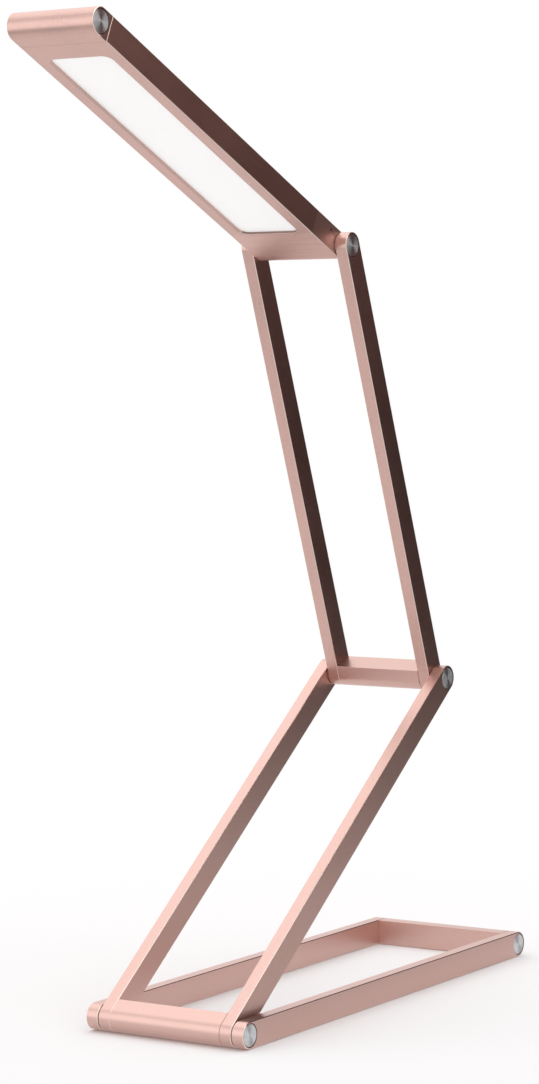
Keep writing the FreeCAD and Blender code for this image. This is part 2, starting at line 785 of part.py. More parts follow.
def make_end_cap():
    """The rounded end cap with its hollow spigot and the two disc seats."""
    body = new_body("head_end_cap")
    tip = head_axis_length
    sketch = new_sketch(body, height=-half_head_width)
    corners = [
        (tip, -half_height, tip, ZERO),
        (tip, half_height),
        (cap_seam, half_height),
        (cap_seam, -half_height),
    ]
    draw_outline(sketch, corners)
    chamfer_side_outlines(body, pad(body, sketch, half_head_width * 2))

    play = size["fit_clearance"]
    sketch = new_sketch(body, height=-half_cavity_width + play)
    draw_rectangle(sketch, spigot_end, cap_seam, cavity_back + play, cavity_face - play)
    pad(body, sketch, (half_cavity_width - play) * 2)

    half_pocket = size["spigot_pocket"] / 2
    sketch = new_sketch(body, height=-pocket_half_width)
    pocket_end = tip + size["contact_reach"] + play
    draw_rectangle(sketch, spigot_end, pocket_end, -half_pocket, half_pocket)
    pocket(body, sketch, pocket_half_width * 2, along_normal=True)

    add_side_hole(body, 1, half_head_width, tip, recess_radius, touch_recess)
    add_side_hole(body, -1, half_head_width, tip, recess_radius, screw_head_top)
    sleeve_radius = size["stem_radius"] + size["sleeve_wall"] + size["seat_clearance"]
    add_side_hole(body, 1, half_head_width, tip, sleeve_radius, half_head_width - pocket_half_width)
    finish(body, "head")


# ---------------------------------------------------------------- light, power and touch key in the head


def make_block(name, left, right, low, high, inner, outer):
    """A plain block in the head: along the link, across its height, and along the hinge axes."""
    body = new_body(name)
    sketch = new_sketch(body, height=inner)
    draw_rectangle(sketch, left, right, low, high)
    pad(body, sketch, outer - inner)
    finish(body, "head")
    return body


def make_optics():
    """Opal diffuser, light guide, reflector and the foam that presses them to the window."""
    side = optics_side
    start = optics_start
    end = optics_end
    make_block("diffuser_panel", start, end, diffuser_back, cavity_face, -side, side)
    make_block("light_guide", start, end, guide_back, diffuser_back, -guide_edge, side)
    make_block("reflector_sheet", start, end, reflector_back, guide_back, -guide_edge, side)
    make_block("pressing_foam", start, end, battery_face, reflector_back, -side, side)


def make_led_strip():
    """The LED strip along the left wall and its row of chips."""
    make_block(
        "led_strip", strip_start, strip_end, reflector_back, diffuser_back, -half_cavity_width, -strip_face
    )
    body = new_body("led_chips")
    sketch = new_sketch(body, height=-strip_face)
    count = size["chip_count"].value
    pitch = (strip_end - strip_start) / count
    first = strip_start + pitch / 2
    half_chip = size["chip_length"] / 2
    low = guide_back + (size["guide_thickness"] - size["chip_height"]) / 2
    draw_rectangle(sketch, first - half_chip, first + half_chip, low, low + size["chip_height"])
    chip = pad(body, sketch, size["chip_depth"])
    row = body.newObject("PartDesign::LinearPattern", "Row")
    row.Originals = [chip]
    row.Direction = (sketch, ["H_Axis"])
    row.setExpression("Length", (strip_end - strip_start - pitch).formula)
    row.Occurrences = int(count)
    body.Tip = row
    finish(body, "head")


def make_battery():
    """The flat battery and the adhesive pad that holds it to the casing's back."""
    side = battery_side
    make_block("battery", battery_start, battery_end, battery_back, battery_face, -side, side)
    make_block("battery_tape", battery_start, battery_end, cavity_back, battery_back, -side, side)


def make_board():
    """The circuit board with its two screw holes."""
    body = new_body("circuit_board")
    sketch = new_sketch(body, "XZ_Plane", height=-board_back)
    draw_rectangle(sketch, size["board_start"], board_end, -board_side, board_side)
    for across in board_boss_places():
        draw_circle(sketch, across, ZERO, size["small_thread_radius"] + size["hole_clearance"])
    pad(body, sketch, size["board_thickness"], along_normal=False)
    finish(body, "head")


def make_board_screws():
    """Two small pan-head screws."""
    body = new_body("board_screws")
    for height, radius, length in (
        (board_face + size["small_head_height"], size["small_head_radius"], size["small_head_height"]),
        (board_face, size["small_thread_radius"], size["small_thread_length"]),
    ):
        sketch = new_sketch(body, "XZ_Plane", height=-height)
        for across in board_boss_places():
            draw_circle(sketch, across, ZERO, radius)
        pad(body, sketch, length)
    finish(body, "head")


def make_board_components():
    """Charging, driver and touch chips on the board's face, and the charge light on its back."""
    body = new_body("board_components")
    sketch = new_sketch(body, "XZ_Plane", height=-board_face)
    for chip, side in (("charger", -1), ("driver", 1), ("touch_chip", -1)):
        width = size[chip + "_width"]
        left = size["board_start"] + size[chip + "_place"] - width / 2
        low = size["chip_offset"] * side - width / 2
        draw_rectangle(sketch, left, left + width, low, low + width)
    pad(body, sketch, size["component_height"], along_normal=False)
    # the charge light stands behind the board, at its right edge
    sketch = new_sketch(body, "XZ_Plane", height=-board_back)
    reach = size["light_radius"]
    place = size["light_place"]
    draw_rectangle(sketch, place - reach, place + reach, board_side - reach * 2, board_side)
    pad(body, sketch, reach)
    finish(body, "head")


def make_charge_inlet():
    """The charging inlet: a drawn steel shell with a contact tongue in its mouth."""
    body = new_body("charging_inlet")
    sheet = size["inlet_sheet"]
    mouth = half_head_width - size["inlet_sink"]
    sketch = new_sketch(body, height=-mouth)
    inlet_slot(sketch, ZERO)
    pad(body, sketch, size["inlet_depth"])
    sketch = new_sketch(body, height=-mouth)
    inlet_slot(sketch, -sheet)
    pocket(body, sketch, size["inlet_depth"] - sheet, along_normal=True)

    # the tongue stands on the shell's back wall and ends a little inside the mouth
    sketch = new_sketch(body, height=size["inlet_depth"] - mouth - sheet)
    low = board_face + (size["inlet_height"] - size["inlet_tongue"]) / 2
    place = size["inlet_place"]
    reach = size["inlet_width"] / 2 - size["inlet_tongue_margin"]
    draw_rectangle(sketch, place - reach, place + reach, low, low + size["inlet_tongue"])
    pad(body, sketch, size["inlet_depth"] - sheet * 2, along_normal=False)
    finish(body, "head")


def make_light_pipe():
    """The clear pipe of the charge light, in the casing's right wall."""
    body = new_body("charge_light_pipe")
    face = half_head_width - size["disc_sink"]
    sketch = new_sketch(body, height=face)
    draw_circle(sketch, size["light_place"], -size["light_height"], size["light_radius"])
    pad(body, sketch, face - board_side - size["light_air"], along_normal=False)
    finish(body, "head")


def make_turned(name, across, side, outline):
    """One turned piece in the head's side face."""
    body = new_body(name)
    sketch = new_sketch(body, "XZ_Plane", shift=half_head_width * side)
    corners = [(radius, depth * -side) for radius, depth in outline]
    draw_outline(sketch, corners)
    turn(body, sketch)
    place_at = FreeCAD.Placement(FreeCAD.Vector(across.value, 0, 0), FreeCAD.Rotation())
    body.Placement = PLACES["head"].multiply(place_at)
    nodes.append(body)


def make_touch_key():
    """The touch key in the tip: disc with stem, insulator, spring contact, and the plain disc opposite."""
    tip = head_axis_length
    stem_end = half_head_width - pocket_half_width
    sleeve_radius = size["stem_radius"] + size["sleeve_wall"]
    sleeve_bore = size["stem_radius"] + size["seat_clearance"]
    bevel = size["ring_gap"]
    disc = [
        (ZERO, size["disc_sink"]),
        (ZERO, stem_end),
        (size["stem_radius"], stem_end),
        (size["stem_radius"], screw_head_top),
        (disc_radius, screw_head_top),
        (disc_radius, size["disc_sink"] + bevel),
        (disc_radius - bevel, size["disc_sink"]),
    ]
    make_turned("touch_disc", tip, 1, disc)
    insulator = [
        (sleeve_bore, screw_head_top),
        (sleeve_bore, stem_end),
        (sleeve_radius, stem_end),
        (sleeve_radius, touch_recess),
        (disc_radius, touch_recess),
        (disc_radius, screw_head_top),
    ]
    make_turned("touch_insulator", tip, 1, insulator)
    plain = [disc[0], (ZERO, screw_head_top)] + disc[4:]
    make_turned("tip_disc_left", tip, -1, plain)
    inner = pocket_half_width - size["contact_sheet"]
    low = board_middle - size["wire_radius"]
    make_block(
        "touch_contact", contact_start, tip + size["contact_reach"], low, -low, inner, pocket_half_width
    )


def make_straight_wires(name, start, end, sides):
    """Straight wires along the head at the circuit board's height."""
    body = new_body(name)
    sketch = new_sketch(body, "YZ_Plane", height=start)
    for side in sides:
        draw_circle(sketch, board_middle, side, size["wire_radius"])
    pad(body, sketch, end - start)
    finish(body, "head")


def make_strip_leads():
    """Two wires from the LED strip's near end, down to the circuit board in front of the optical sheets."""
    name = "strip_leads"
    radius = size["thin_wire_radius"].value
    side = -(board_side.value - radius)
    bend = size["thin_wire_bend"].value
    corner = math.sqrt(0.5) * bend
    start = strip_start.value
    guide_middle = (guide_back.value + diffuser_back.value) / 2
    half_pitch = size["thin_wire_pitch"].value / 2
    first_turn = optics_start.value - size["thin_wire_gap"].value - radius
    wires = []
    for order, height in enumerate((guide_middle - half_pitch, guide_middle + half_pitch)):
        turn_x = first_turn - size["thin_wire_pitch"].value * order
        points = [
            FreeCAD.Vector(start, height, side),
            FreeCAD.Vector(turn_x + bend, height, side),
            FreeCAD.Vector(turn_x + bend - corner, height - bend + corner, side),
            FreeCAD.Vector(turn_x, height - bend, side),
            FreeCAD.Vector(turn_x, board_face.value, side),
        ]
        path = Part.Wire(
            [
                Part.LineSegment(points[0], points[1]).toShape(),
                Part.Arc(points[1], points[2], points[3]).toShape(),
                Part.LineSegment(points[3], points[4]).toShape(),
            ]
        )
        ring = Part.Wire(Part.Circle(points[0], FreeCAD.Vector(1, 0, 0), radius).toShape())
        wires.append(path.makePipeShell([ring], True, True))
    feature = doc.addObject("Part::Feature", name)
    feature.Label = name
    feature.Shape = Part.makeCompound(wires)
    finish(feature, "head")


# ---------------------------------------------------------------- the whole lamp


def make_lamp():
    """Every sub-part of the lamp, link by link."""
    for name, side in (("left", -1), ("right", 1)):
        make_base_rail("base_rail_" + name, side)
    end_face = half_base_width - tongue_face
    make_cross_bar("base_end_bar", "base", half_base_width, size["base_axis_length"], 1)
    make_discs("base_end_discs", "base", size["base_axis_length"], half_base_width)
    make_end_screws("base_end_screws", "base", size["base_axis_length"], half_base_width)
    make_inserts("base_end_inserts", "base", size["base_axis_length"], end_face)
    make_foot_pads()

    arms = (
        ("lower", half_base_width, half_lower_width, lower_axis_length, "base_hinge"),
        ("upper", half_lower_width, half_upper_width, upper_axis_length, "middle_hinge"),
    )
    for link, outer_face, half_width, axis_length, hinge in arms:
        for name, side in (("left", -1), ("right", 1)):
            make_arm_rail(f"{link}_arm_rail_{name}", link, side, half_width, axis_length)
        make_cross_bar(f"{link}_arm_bar", link, half_width, ZERO, -1)
        insert_face = half_width - tongue_face
        make_hinge(hinge, link, outer_face, insert_face, tongue_face + thread_reach)

    make_casing()
    make_end_cap()
    make_hinge("head_hinge", "head", half_upper_width, half_head_width, thread_reach)
    make_optics()
    make_led_strip()
    make_battery()
    make_board()
    make_board_screws()
    make_board_components()
    make_charge_inlet()
    make_light_pipe()
    make_touch_key()
    half_spread = size["battery_lead_spread"] / 2
    make_straight_wires("battery_leads", board_end, battery_start, (-half_spread, half_spread))
    make_straight_wires("touch_lead", board_end, contact_start, (pocket_half_width,))
    make_strip_leads()


def check_and_export():
    """Stop on any failed feature or shape, then write one STEP file for each sub-part."""
    doc.recompute()
    for item in doc.Objects:
        if "Invalid" in item.State or "Error" in item.State:
            raise RuntimeError(f"{item.Label} failed: {item.State}")
    os.makedirs("parts", exist_ok=True)
    for node in nodes:
        shape = node.Shape
        if shape.isNull() or not shape.isValid() or not shape.Solids:
            raise RuntimeError(f"{node.Label} has no valid solid")
    for node in nodes:
        node.Shape.exportStep(os.path.join("parts", node.Label + ".step"))


make_lamp()
check_and_export()
print(len(nodes), "sub-parts written")
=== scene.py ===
"""Accordion desk lamp: the visible surfaces, their finishes and the studio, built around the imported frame.

Every link of the lamp is drawn in its own axes: along the link from its lower hinge axis, up across its
height, and across towards the lamp's right side. Lengths are metres. Run as a script, the file registers its
classes, builds every piece through its operators and lists them in the sidebar of the 3D view.
"""

import json
import math

import bmesh
import bpy
import numpy as np
from bpy.props import FloatProperty, FloatVectorProperty, PointerProperty
from mathutils import Matrix, Vector
from mathutils.geometry import tessellate_polygon


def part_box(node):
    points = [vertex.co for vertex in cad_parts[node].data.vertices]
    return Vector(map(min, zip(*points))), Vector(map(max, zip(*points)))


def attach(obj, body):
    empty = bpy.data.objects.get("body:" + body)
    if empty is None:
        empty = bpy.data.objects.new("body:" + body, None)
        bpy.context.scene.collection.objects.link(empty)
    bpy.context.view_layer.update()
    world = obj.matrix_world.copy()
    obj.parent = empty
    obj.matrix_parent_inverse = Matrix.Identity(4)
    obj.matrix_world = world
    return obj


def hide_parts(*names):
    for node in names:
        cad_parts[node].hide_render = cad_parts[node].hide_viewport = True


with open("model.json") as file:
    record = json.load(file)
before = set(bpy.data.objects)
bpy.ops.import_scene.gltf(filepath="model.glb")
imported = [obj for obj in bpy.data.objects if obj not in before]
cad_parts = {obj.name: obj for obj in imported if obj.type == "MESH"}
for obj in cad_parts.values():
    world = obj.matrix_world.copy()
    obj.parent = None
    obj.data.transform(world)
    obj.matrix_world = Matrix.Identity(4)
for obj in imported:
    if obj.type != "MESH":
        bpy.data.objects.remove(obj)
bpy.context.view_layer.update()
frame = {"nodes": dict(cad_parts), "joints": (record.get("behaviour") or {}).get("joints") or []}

bl_info = {
    "name": "Accordion Desk Lamp",
    "version": (1, 0, 0),
    "blender": (4, 5, 0),
    "location": "View3D > Sidebar > Desk Lamp",
    "description": "Builds the surfaces, finishes and studio of a folding desk lamp around its packed frame",
    "category": "Object",
}

MM = 0.001
RIGHT, LEFT = 1, -1
ARC_STEPS, CORNER_STEPS, EASE_STEPS = 48, 10, 5
HOLE_STEPS, SMALL_HOLE_STEPS, TURN_STEPS = 72, 24, 96
SEAM = ARC_STEPS + EASE_STEPS + 2  # the flat face of a round-nosed outline ends at this point of it
MERGE_DISTANCE = 2e-7
SHARP_ANGLE = math.radians(35)
POLISH, TURNING_MAP = "polish", "turning"
ALONG_LINK, ACROSS_LINK = (0.02, 1.0, 1.0), (1.0, 0.02, 1.0)  # stretches of a pattern's lines
BLACK, WHITE = (0.0, 0.0, 0.0, 1.0), (1.0, 1.0, 1.0, 1.0)


# ---------------------------------------------------------------- settings


def length(name, description, millimetres):
    """A length that a user can change, given in millimetres and kept in metres."""
    return FloatProperty(
        name=name, description=description, default=millimetres * MM, min=0.0, unit="LENGTH", precision=5
    )


def colour(name, description, value):
    """A colour that a user can change."""
    return FloatVectorProperty(
        name=name, description=description, default=value, size=3, min=0.0, max=1.0, subtype="COLOR"
    )


def factor(name, description, value):
    """A plain number that a user can change."""
    return FloatProperty(name=name, description=description, default=value, min=0.0)


def angle(name, description, degrees):
    """An angle that a user can change, given in degrees."""
    return FloatProperty(name=name, description=description, default=math.radians(degrees), unit="ROTATION")


class LampSizes(bpy.types.PropertyGroup):
    """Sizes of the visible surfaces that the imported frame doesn't give as a box."""

    edge_width: length("Edge", "Width of the polished chamfer round the side faces", 0.32)
    seam_edge: length("Seam edge", "Rounding of the edges at the seams", 0.12)
    recess_radius: length("Disc recess", "Radius of the recess that holds a disc", 5.35)
    pivot_recess: length("Pivot recess", "Depth of the recess at a hinge", 3.0)
    end_recess: length("End recess", "Depth of the recess at the end bar", 2.5)
    bore_radius: length("Pivot bore", "Radius of the bore that turns on the screw", 2.55)
    screw_hole: length("Screw hole", "Radius of a plain screw hole", 1.6)
    screw_skin: length("Screw skin", "Metal between a blind screw hole and the outer face", 0.5)
    tongue_half: length("Tongue", "Half the side of the square seat of a bar's tongue", 4.045)
    tongue_depth: length("Tongue depth", "Depth of that seat", 1.25)
    bar_flat: length("Bar flat", "Flat inner face of a cross bar from its axis", 6.0)
    disc_radius: length("Disc", "Radius of a turned disc", 5.02)
    disc_sink: length("Disc sink", "Disc face below the side face", 0.1)
    disc_thickness: length("Disc thickness", "Thickness of a turned disc", 0.8)
    disc_bevel: length("Disc bevel", "Bevel round a turned disc", 0.18)
    groove_pitch: length("Groove pitch", "Distance between the turned grooves", 0.4)
    groove_depth: length("Groove depth", "Depth of the turned grooves", 0.004)
    cap_length: length("Cap", "Seam of the end cap from the tip axis", 6.5)
    seam_gap: length("Seam gap", "Hairline between the casing and the end cap", 0.1)
    spigot_length: length("Spigot", "Reach of the end cap inside the casing", 6.0)
    spigot_wall: length("Spigot wall", "Wall of the spigot at its sides", 1.9)
    fit: length("Fit", "Play round what is let into the casing", 0.1)
    window_start: length("Window start", "Near end of the light window from the hinge axis", 25.0)
    window_end: length("Window end", "Far end of the light window from the hinge axis", 187.4)
    window_half: length("Window half width", "Half the width of the light window", 15.7)
    window_corner: length("Window corner", "Corner radius of the light window", 4.0)
    window_depth: length("Window depth", "Diffuser below the face of the head", 1.3)
    window_lip: length("Window lip", "Bevel round the light window", 0.25)
    casing_side: length("Side wall", "Side wall of the head's casing", 2.0)
    casing_back: length("Back wall", "Back wall of the head's casing", 1.2)
    cavity_start: length("Cavity start", "Solid hinge end of the casing", 8.0)
    light_place: length("Charge light", "Charge light from the hinge axis", 10.4)
    light_height: length("Charge light height", "Charge light below the middle of the side face", 2.9)
    light_radius: length("Charge light radius", "Radius of the charge light's pipe", 0.75)
    inlet_place: length("Inlet", "Middle of the charging inlet from the hinge axis", 14.8)
    inlet_half: length("Inlet half length", "Half the length of the charging inlet", 4.5)
    inlet_radius: length("Inlet radius", "Half the height of the charging inlet", 1.6)
    inlet_depth: length("Inlet depth", "Depth of the charging inlet", 7.3)
    inlet_sheet: length("Inlet sheet", "Sheet of the inlet's shell", 0.3)


class LampColours(bpy.types.PropertyGroup):
    """Colours of the finishes."""

    rose: colour("Rose metal", "Bead-blasted rose anodised metal", (0.72, 0.483, 0.433))
    cut_edge: colour("Cut edge", "Polished chamfers of the rose metal", (0.92, 0.76, 0.67))
    disc: colour("Turned steel", "Turned discs", (0.76, 0.785, 0.80))
    panel: colour("Opal panel", "Diffuser of the light", (0.93, 0.93, 0.925))
    lens: colour("Charge lens", "Smoked lens of the charge light", (0.03, 0.012, 0.012))
    rubber: colour("Rubber", "Foot pads", (0.05, 0.048, 0.047))
    floor: colour("Floor", "Pale studio floor", (0.80, 0.787, 0.789))


class LampStage(bpy.types.PropertyGroup):
    """The camera and the studio light."""

    azimuth: angle("Azimuth", "Camera's way round the lamp", -57.307)
    elevation: angle("Elevation", "Camera's height angle", 3.503)
    roll: angle("Roll", "Camera's roll", -0.493)
    place: FloatVectorProperty(
        name="Place", description="Camera's place", default=(-1.2246, -0.78488, 0.30279), subtype="XYZ"
    )
    lens: FloatProperty(name="Lens", description="Focal length", default=105.98, min=1.0, unit="CAMERA")
    world_strength: factor("Room light", "Strength of the even white room", 0.88)
    softbox_radiance: factor("Softbox", "Brightness of the softbox overhead", 0.5)
    strip_radiance: factor("Strip", "Brightness of the bright strip overhead", 0.7)
    floor_gleam: factor("Floor gleam", "Share of white in the floor's reflections", 0.35)
    floor_dimming: factor("Floor dimming", "Share of black in the floor's reflections at the right", 0.24)
    apron_dimming: factor("Apron dimming", "Share of black in the floor's reflections far at the left", 0.4)
    flag_foot: colour("Flag foot", "Flag at the right, at the floor", (0.42, 0.40, 0.395))
    flag_dark: colour("Flag", "Flag at the right, beside the arms", (0.046, 0.032, 0.032))
    flag_warm: colour("Flag middle", "Flag at the right, over the head", (0.21, 0.125, 0.115))
    flag_top: colour("Flag top", "Flag at the right, at its top edge", (0.09, 0.06, 0.055))
    reflector: colour("Reflector", "Reflector at the left", (1.0, 1.0, 1.0))


# ---------------------------------------------------------------- links of the lamp


def box_of(node):
    """Lowest and highest corners of a node of the frame, as arrays."""
    low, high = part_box(node)
    return np.array(low), np.array(high)


def axis_of(node):
    """Middle of a pair of discs, or of one disc, in the lamp's side view."""
    low, high = box_of(node)
    middle = (low + high) / 2
    return np.array((middle[0], 0.0, middle[2]))


class Link:
    """One folding link, with its axes and half width read from the frame."""

    def __init__(self, body, start, end, sample):
        low, high = box_of(sample)
        self.body = body
        self.start = start
        self.length = float(np.linalg.norm(end - start))
        self.along = (end - start) / self.length
        self.across = np.array((0.0, -1.0, 0.0))
        self.up = np.cross(self.across, self.along)
        self.half = float(-low[1])
        self.angle = math.atan2(self.along[2], self.along[0])

    def place(self, points):
        """Points given as along, up, across, taken to the lamp's own axes."""
        return self.start + points @ np.stack((self.along, self.up, self.across))

    def level(self, node):
        """Middle of a node across the link's height."""
        return float((sum(box_of(node)) / 2 - self.start) @ self.up)


HINGES = {joint["name"]: np.array(joint["pos_m"], dtype=float) for joint in frame["joints"]}
LINKS = {
    "base": Link("base", HINGES["base_hinge"], axis_of("base_end_discs"), "base_rail_right"),
    "lower": Link("lower_arm", HINGES["base_hinge"], HINGES["middle_hinge"], "lower_arm_rail_right"),
    "upper": Link("upper_arm", HINGES["middle_hinge"], HINGES["head_hinge"], "upper_arm_rail_right"),
    "head": Link("head", HINGES["head_hinge"], axis_of("touch_disc"), "head_casing"),
}
RAIL_LOW, RAIL_HIGH = box_of("base_rail_right")
RAIL_THICKNESS = float(RAIL_HIGH[1] - RAIL_LOW[1])
HALF_HEIGHT = float(RAIL_HIGH[2] - RAIL_LOW[2]) / 2


# ---------------------------------------------------------------- outlines: closed rings of (along, up)


def arc(centre, radius, first, last, steps):
    """Points of a circle's arc: centre + radius (cos t, sin t), t from first to last in degrees."""
    turn = np.radians(np.linspace(first, last, steps + 1))
    return np.array(centre) + radius * np.stack((np.cos(turn), np.sin(turn)), axis=1)


def circle(centre, radius, steps=HOLE_STEPS):
    """A full circle, counter-clockwise, without its first point repeated."""
    return arc(centre, radius, 0.0, 360.0, steps)[:-1]


def slot(left, right, middle, radius):
    """Two half circles about the ends of a line, joined by straight sides."""
    end = arc((right, middle), radius, -90.0, 90.0, ARC_STEPS)
    return np.concatenate((end, arc((left, middle), radius, 90.0, 270.0, ARC_STEPS)))


def rounded_box(centre, half_along, half_up, radius):
    """Four quarter circles about the inner corners of a rectangle."""
    arcs = []
    for side, level, first in ((1, -1, -90.0), (1, 1, 0.0), (-1, 1, 90.0), (-1, -1, 180.0)):
        inner = (centre[0] + side * (half_along - radius), centre[1] + level * (half_up - radius))
        arcs.append(arc(inner, radius, first, first + 90.0, CORNER_STEPS))
    return np.concatenate(arcs)


def round_nose(centre, flat, corner, share):
    """A half circle on one side and a flat face with small rounded corners on the other, by its inset.

    The nose points away from the flat face. The half circle is centred on centre, the flat face stands square
    to the link at flat, and the corners are quarter circles. An inset draws in the nose by its whole and the
    flat face by a share of it.
    """
    way = 1.0 if flat > centre else -1.0

    def outline(inset):
        radius, small = HALF_HEIGHT - inset, max(corner - inset, 0.0)
        reach = abs(flat - centre) - share * inset
        nose = arc((0.0, 0.0), radius, 90.0, 270.0, ARC_STEPS)
        low = arc((reach - small, small - radius), small, -90.0, 0.0, EASE_STEPS)
        high = arc((reach - small, radius - small), small, 0.0, 90.0, EASE_STEPS)
        return np.concatenate((nose, low, high)) * (way, 1.0) + (centre, 0.0)

    return outline


def square_ring(centre, half, steps=HOLE_STEPS):
    """A square's outline sampled at even angles, so that it pairs with a circle's points."""
    ray = circle((0.0, 0.0), 1.0, steps)
    return np.array(centre) + ray * (half / np.abs(ray).max(axis=1, keepdims=True))


def standing(outline, up):
    """An outline of (along, across) laid in a plane at one height across the link."""
    return np.column_stack((outline[:, 0], np.full(len(outline), up), outline[:, 1]))


# an edge's profile: share of its width inwards, share of it down from the face, and polish
CHAMFER = ((1.0, 0.0, 0.0), (0.86, 0.04, 1.0), (0.04, 0.86, 1.0), (0.0, 1.0, 0.0))


def quarter_round(steps):
    """A quarter circle as an edge's profile: 1 - sin t inwards, 1 - cos t down, t from 0 to 90 degrees."""
    turns = np.radians(np.linspace(0.0, 90.0, steps + 1))
    return [(1.0 - math.sin(turn), 1.0 - math.cos(turn), 0.0) for turn in turns]


# ---------------------------------------------------------------- shells


class Shell:
    """Rings, walls and plates of one piece, gathered in a link's axes before they become a mesh."""

    def __init__(self):
        self.points, self.polish, self.faces = [], [], []
        self.count = 0

    def ring(self, outline, across=0.0, polish=0.0):
        """An outline of (along, up) at one place across the link, or an array of full points."""
        if outline.shape[1] == 2:
            outline = np.column_stack((outline, np.full(len(outline), across)))
        self.points.append(outline)
        self.polish.append(np.broadcast_to(polish, len(outline)))
        self.count += len(outline)
        return np.arange(self.count - len(outline), self.count)

    def box(self, along, up, half):
        """A rectangle square to the link: up from up[0] to up[1], half its width to each side."""
        corners = ((0, -1), (1, -1), (1, 1), (0, 1))
        return self.ring(np.array([(along, up[row], side * half) for row, side in corners]))

    def strip(self, first, second):
        """Quads between two open rows of points."""
        self.faces.extend(np.stack((first[:-1], first[1:], second[1:], second[:-1]), axis=1).tolist())

    def wall(self, first, second):
        """Quads between two closed rings of equal length."""
        self.strip(np.append(first, first[0]), np.append(second, second[0]))

    def chain(self, rings):
        """Walls from ring to ring."""
        for first, second in zip(rings, rings[1:]):
            self.wall(first, second)

    def plate(self, outer, *holes):
        """Triangles over a flat face between an outer ring and the rings of its holes."""
        rings = (outer, *holes)
        every = np.concatenate(self.points)
        index = np.concatenate(rings)
        flat = np.delete(np.arange(3), np.argmin(np.ptp(every[index], axis=0)))
        loops = [np.column_stack((every[ring][:, flat] / MM, np.zeros(len(ring)))).tolist() for ring in rings]
        self.faces.extend(index[np.array(tessellate_polygon(loops))].tolist())

    def closed(self, rings):
        """Walls from ring to ring, with a plate over the first and the last."""
        self.chain(rings)
        self.plate(rings[0])
        self.plate(rings[-1])

    def rim(self, outline, face, inward, width, profile=CHAMFER):
        """The rings of an edge, from a side face inwards, for an outline that is a function of its inset."""
        return [
            self.ring(outline(inset * width), face + inward * drop * width, polish)
            for inset, drop, polish in profile
        ]

    def sides(self, outline, low, high, width, profile=CHAMFER):
        """An outline carried across from low to high, edged at both side faces. Returns the faces' rings."""
        rings = self.rim(outline, low, 1, width, profile) + self.rim(outline, high, -1, width, profile)[::-1]
        self.chain(rings)
        return rings[0], rings[-1]

    def skin(self, left, right):
        """The skin between two round-nosed rims, open at the flat end and on top. Returns the end's ring."""
        self.strip(left[:SEAM], right[:SEAM])
        self.strip(left[SEAM:], right[SEAM:])
        return np.array((left[SEAM - 1], left[SEAM], right[SEAM], right[SEAM - 1]))

    def mesh(self, name, place=np.asarray):
        """The gathered faces as a clean mesh, their points taken to their place."""
        mesh = bpy.data.meshes.new(name)
        mesh.from_pydata(place(np.concatenate(self.points)), [], self.faces)
        polish = mesh.attributes.new(POLISH, "FLOAT", "POINT")
        polish.data.foreach_set("value", np.concatenate(self.polish).astype(np.float32))
        return clean_mesh(mesh)

    def build(self, name, link, node, finish, *materials):
        """The mesh object of the gathered faces, in its place on the lamp, riding its body."""
        return finish_piece(name, self.mesh(name, link.place), link, node, finish, *materials)


def clean_mesh(mesh):
    """Merge the points that coincide, drop collapsed faces and turn every face outwards."""
    work = bmesh.new()
    work.from_mesh(mesh)
    bmesh.ops.remove_doubles(work, verts=work.verts, dist=MERGE_DISTANCE)
    bmesh.ops.dissolve_degenerate(work, edges=work.edges, dist=MERGE_DISTANCE)
    bmesh.ops.recalc_face_normals(work, faces=work.faces)
    work.to_mesh(mesh)
    work.free()
    return mesh


def add_object(name, data):
    """A new object in the scene, at its origin."""
    new = bpy.data.objects.new(name, data)
    bpy.context.scene.collection.objects.link(new)
    return new


def finish_piece(name, mesh, link, node, finish, *materials):
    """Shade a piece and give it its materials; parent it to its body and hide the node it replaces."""
    piece = add_object(name, mesh)
    for material in materials:
        mesh.materials.append(material)
    mesh.shade_smooth()
    mesh.set_sharp_from_angle(angle=SHARP_ANGLE)
    piece.modifiers.new("even_normals", "WEIGHTED_NORMAL").keep_sharp = True
    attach(piece, link.body)
    if node:
        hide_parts(node)
    return piece


# ---------------------------------------------------------------- materials


def plug(tree, node, **inputs):
    """Set or link a node's inputs, each named with _ for a space, or by _ and its number."""
    for key, value in inputs.items():
        socket = node.inputs[int(key[1:])] if key[1:].isdigit() else node.inputs[key.replace("_", " ")]
        if isinstance(value, bpy.types.NodeSocket):
            tree.links.new(value, socket)
        else:
            socket.default_value = value


def add_node(tree, kind, settings=None, **inputs):
    """One shader node with its settings and its inputs; kind is its type without the ShaderNode in front."""
    node = tree.nodes.new("ShaderNode" + kind)
    for key, value in (settings or {}).items():
        setattr(node, key, value)
    plug(tree, node, **inputs)
    return node


def opaque(rgb):
    """A colour with full alpha."""
    return (*rgb, 1.0)


def scaled(rgb, times):
    """A colour made lighter or darker, with full alpha."""
    return opaque([min(channel * times, 1.0) for channel in rgb])


def math_node(tree, operation, first, second=0.0, third=0.0):
    """The result of one arithmetic step."""
    return add_node(tree, "Math", {"operation": operation}, _0=first, _1=second, _2=third).outputs[0]


def product(tree, first, second):
    """Two values multiplied."""
    return math_node(tree, "MULTIPLY", first, second)


def measure(tree, operation, vector, other=(0.0, 0.0, 0.0)):
    """A vector's length, or its product with another."""
    return add_node(tree, "VectorMath", {"operation": operation}, _0=vector, _1=other).outputs["Value"]


def mix_colour(tree, share, first, second):
    """Two colours mixed by a share of the second."""
    return add_node(tree, "Mix", {"data_type": "RGBA"}, _0=share, _6=first, _7=second).outputs[2]


def spread(tree, value, low, high):
    """A pattern's value from 0.25-0.75 taken to low-high."""
    return add_node(
        tree, "MapRange", Value=value, From_Min=0.25, From_Max=0.75, To_Min=low, To_Max=high
    ).outputs[0]


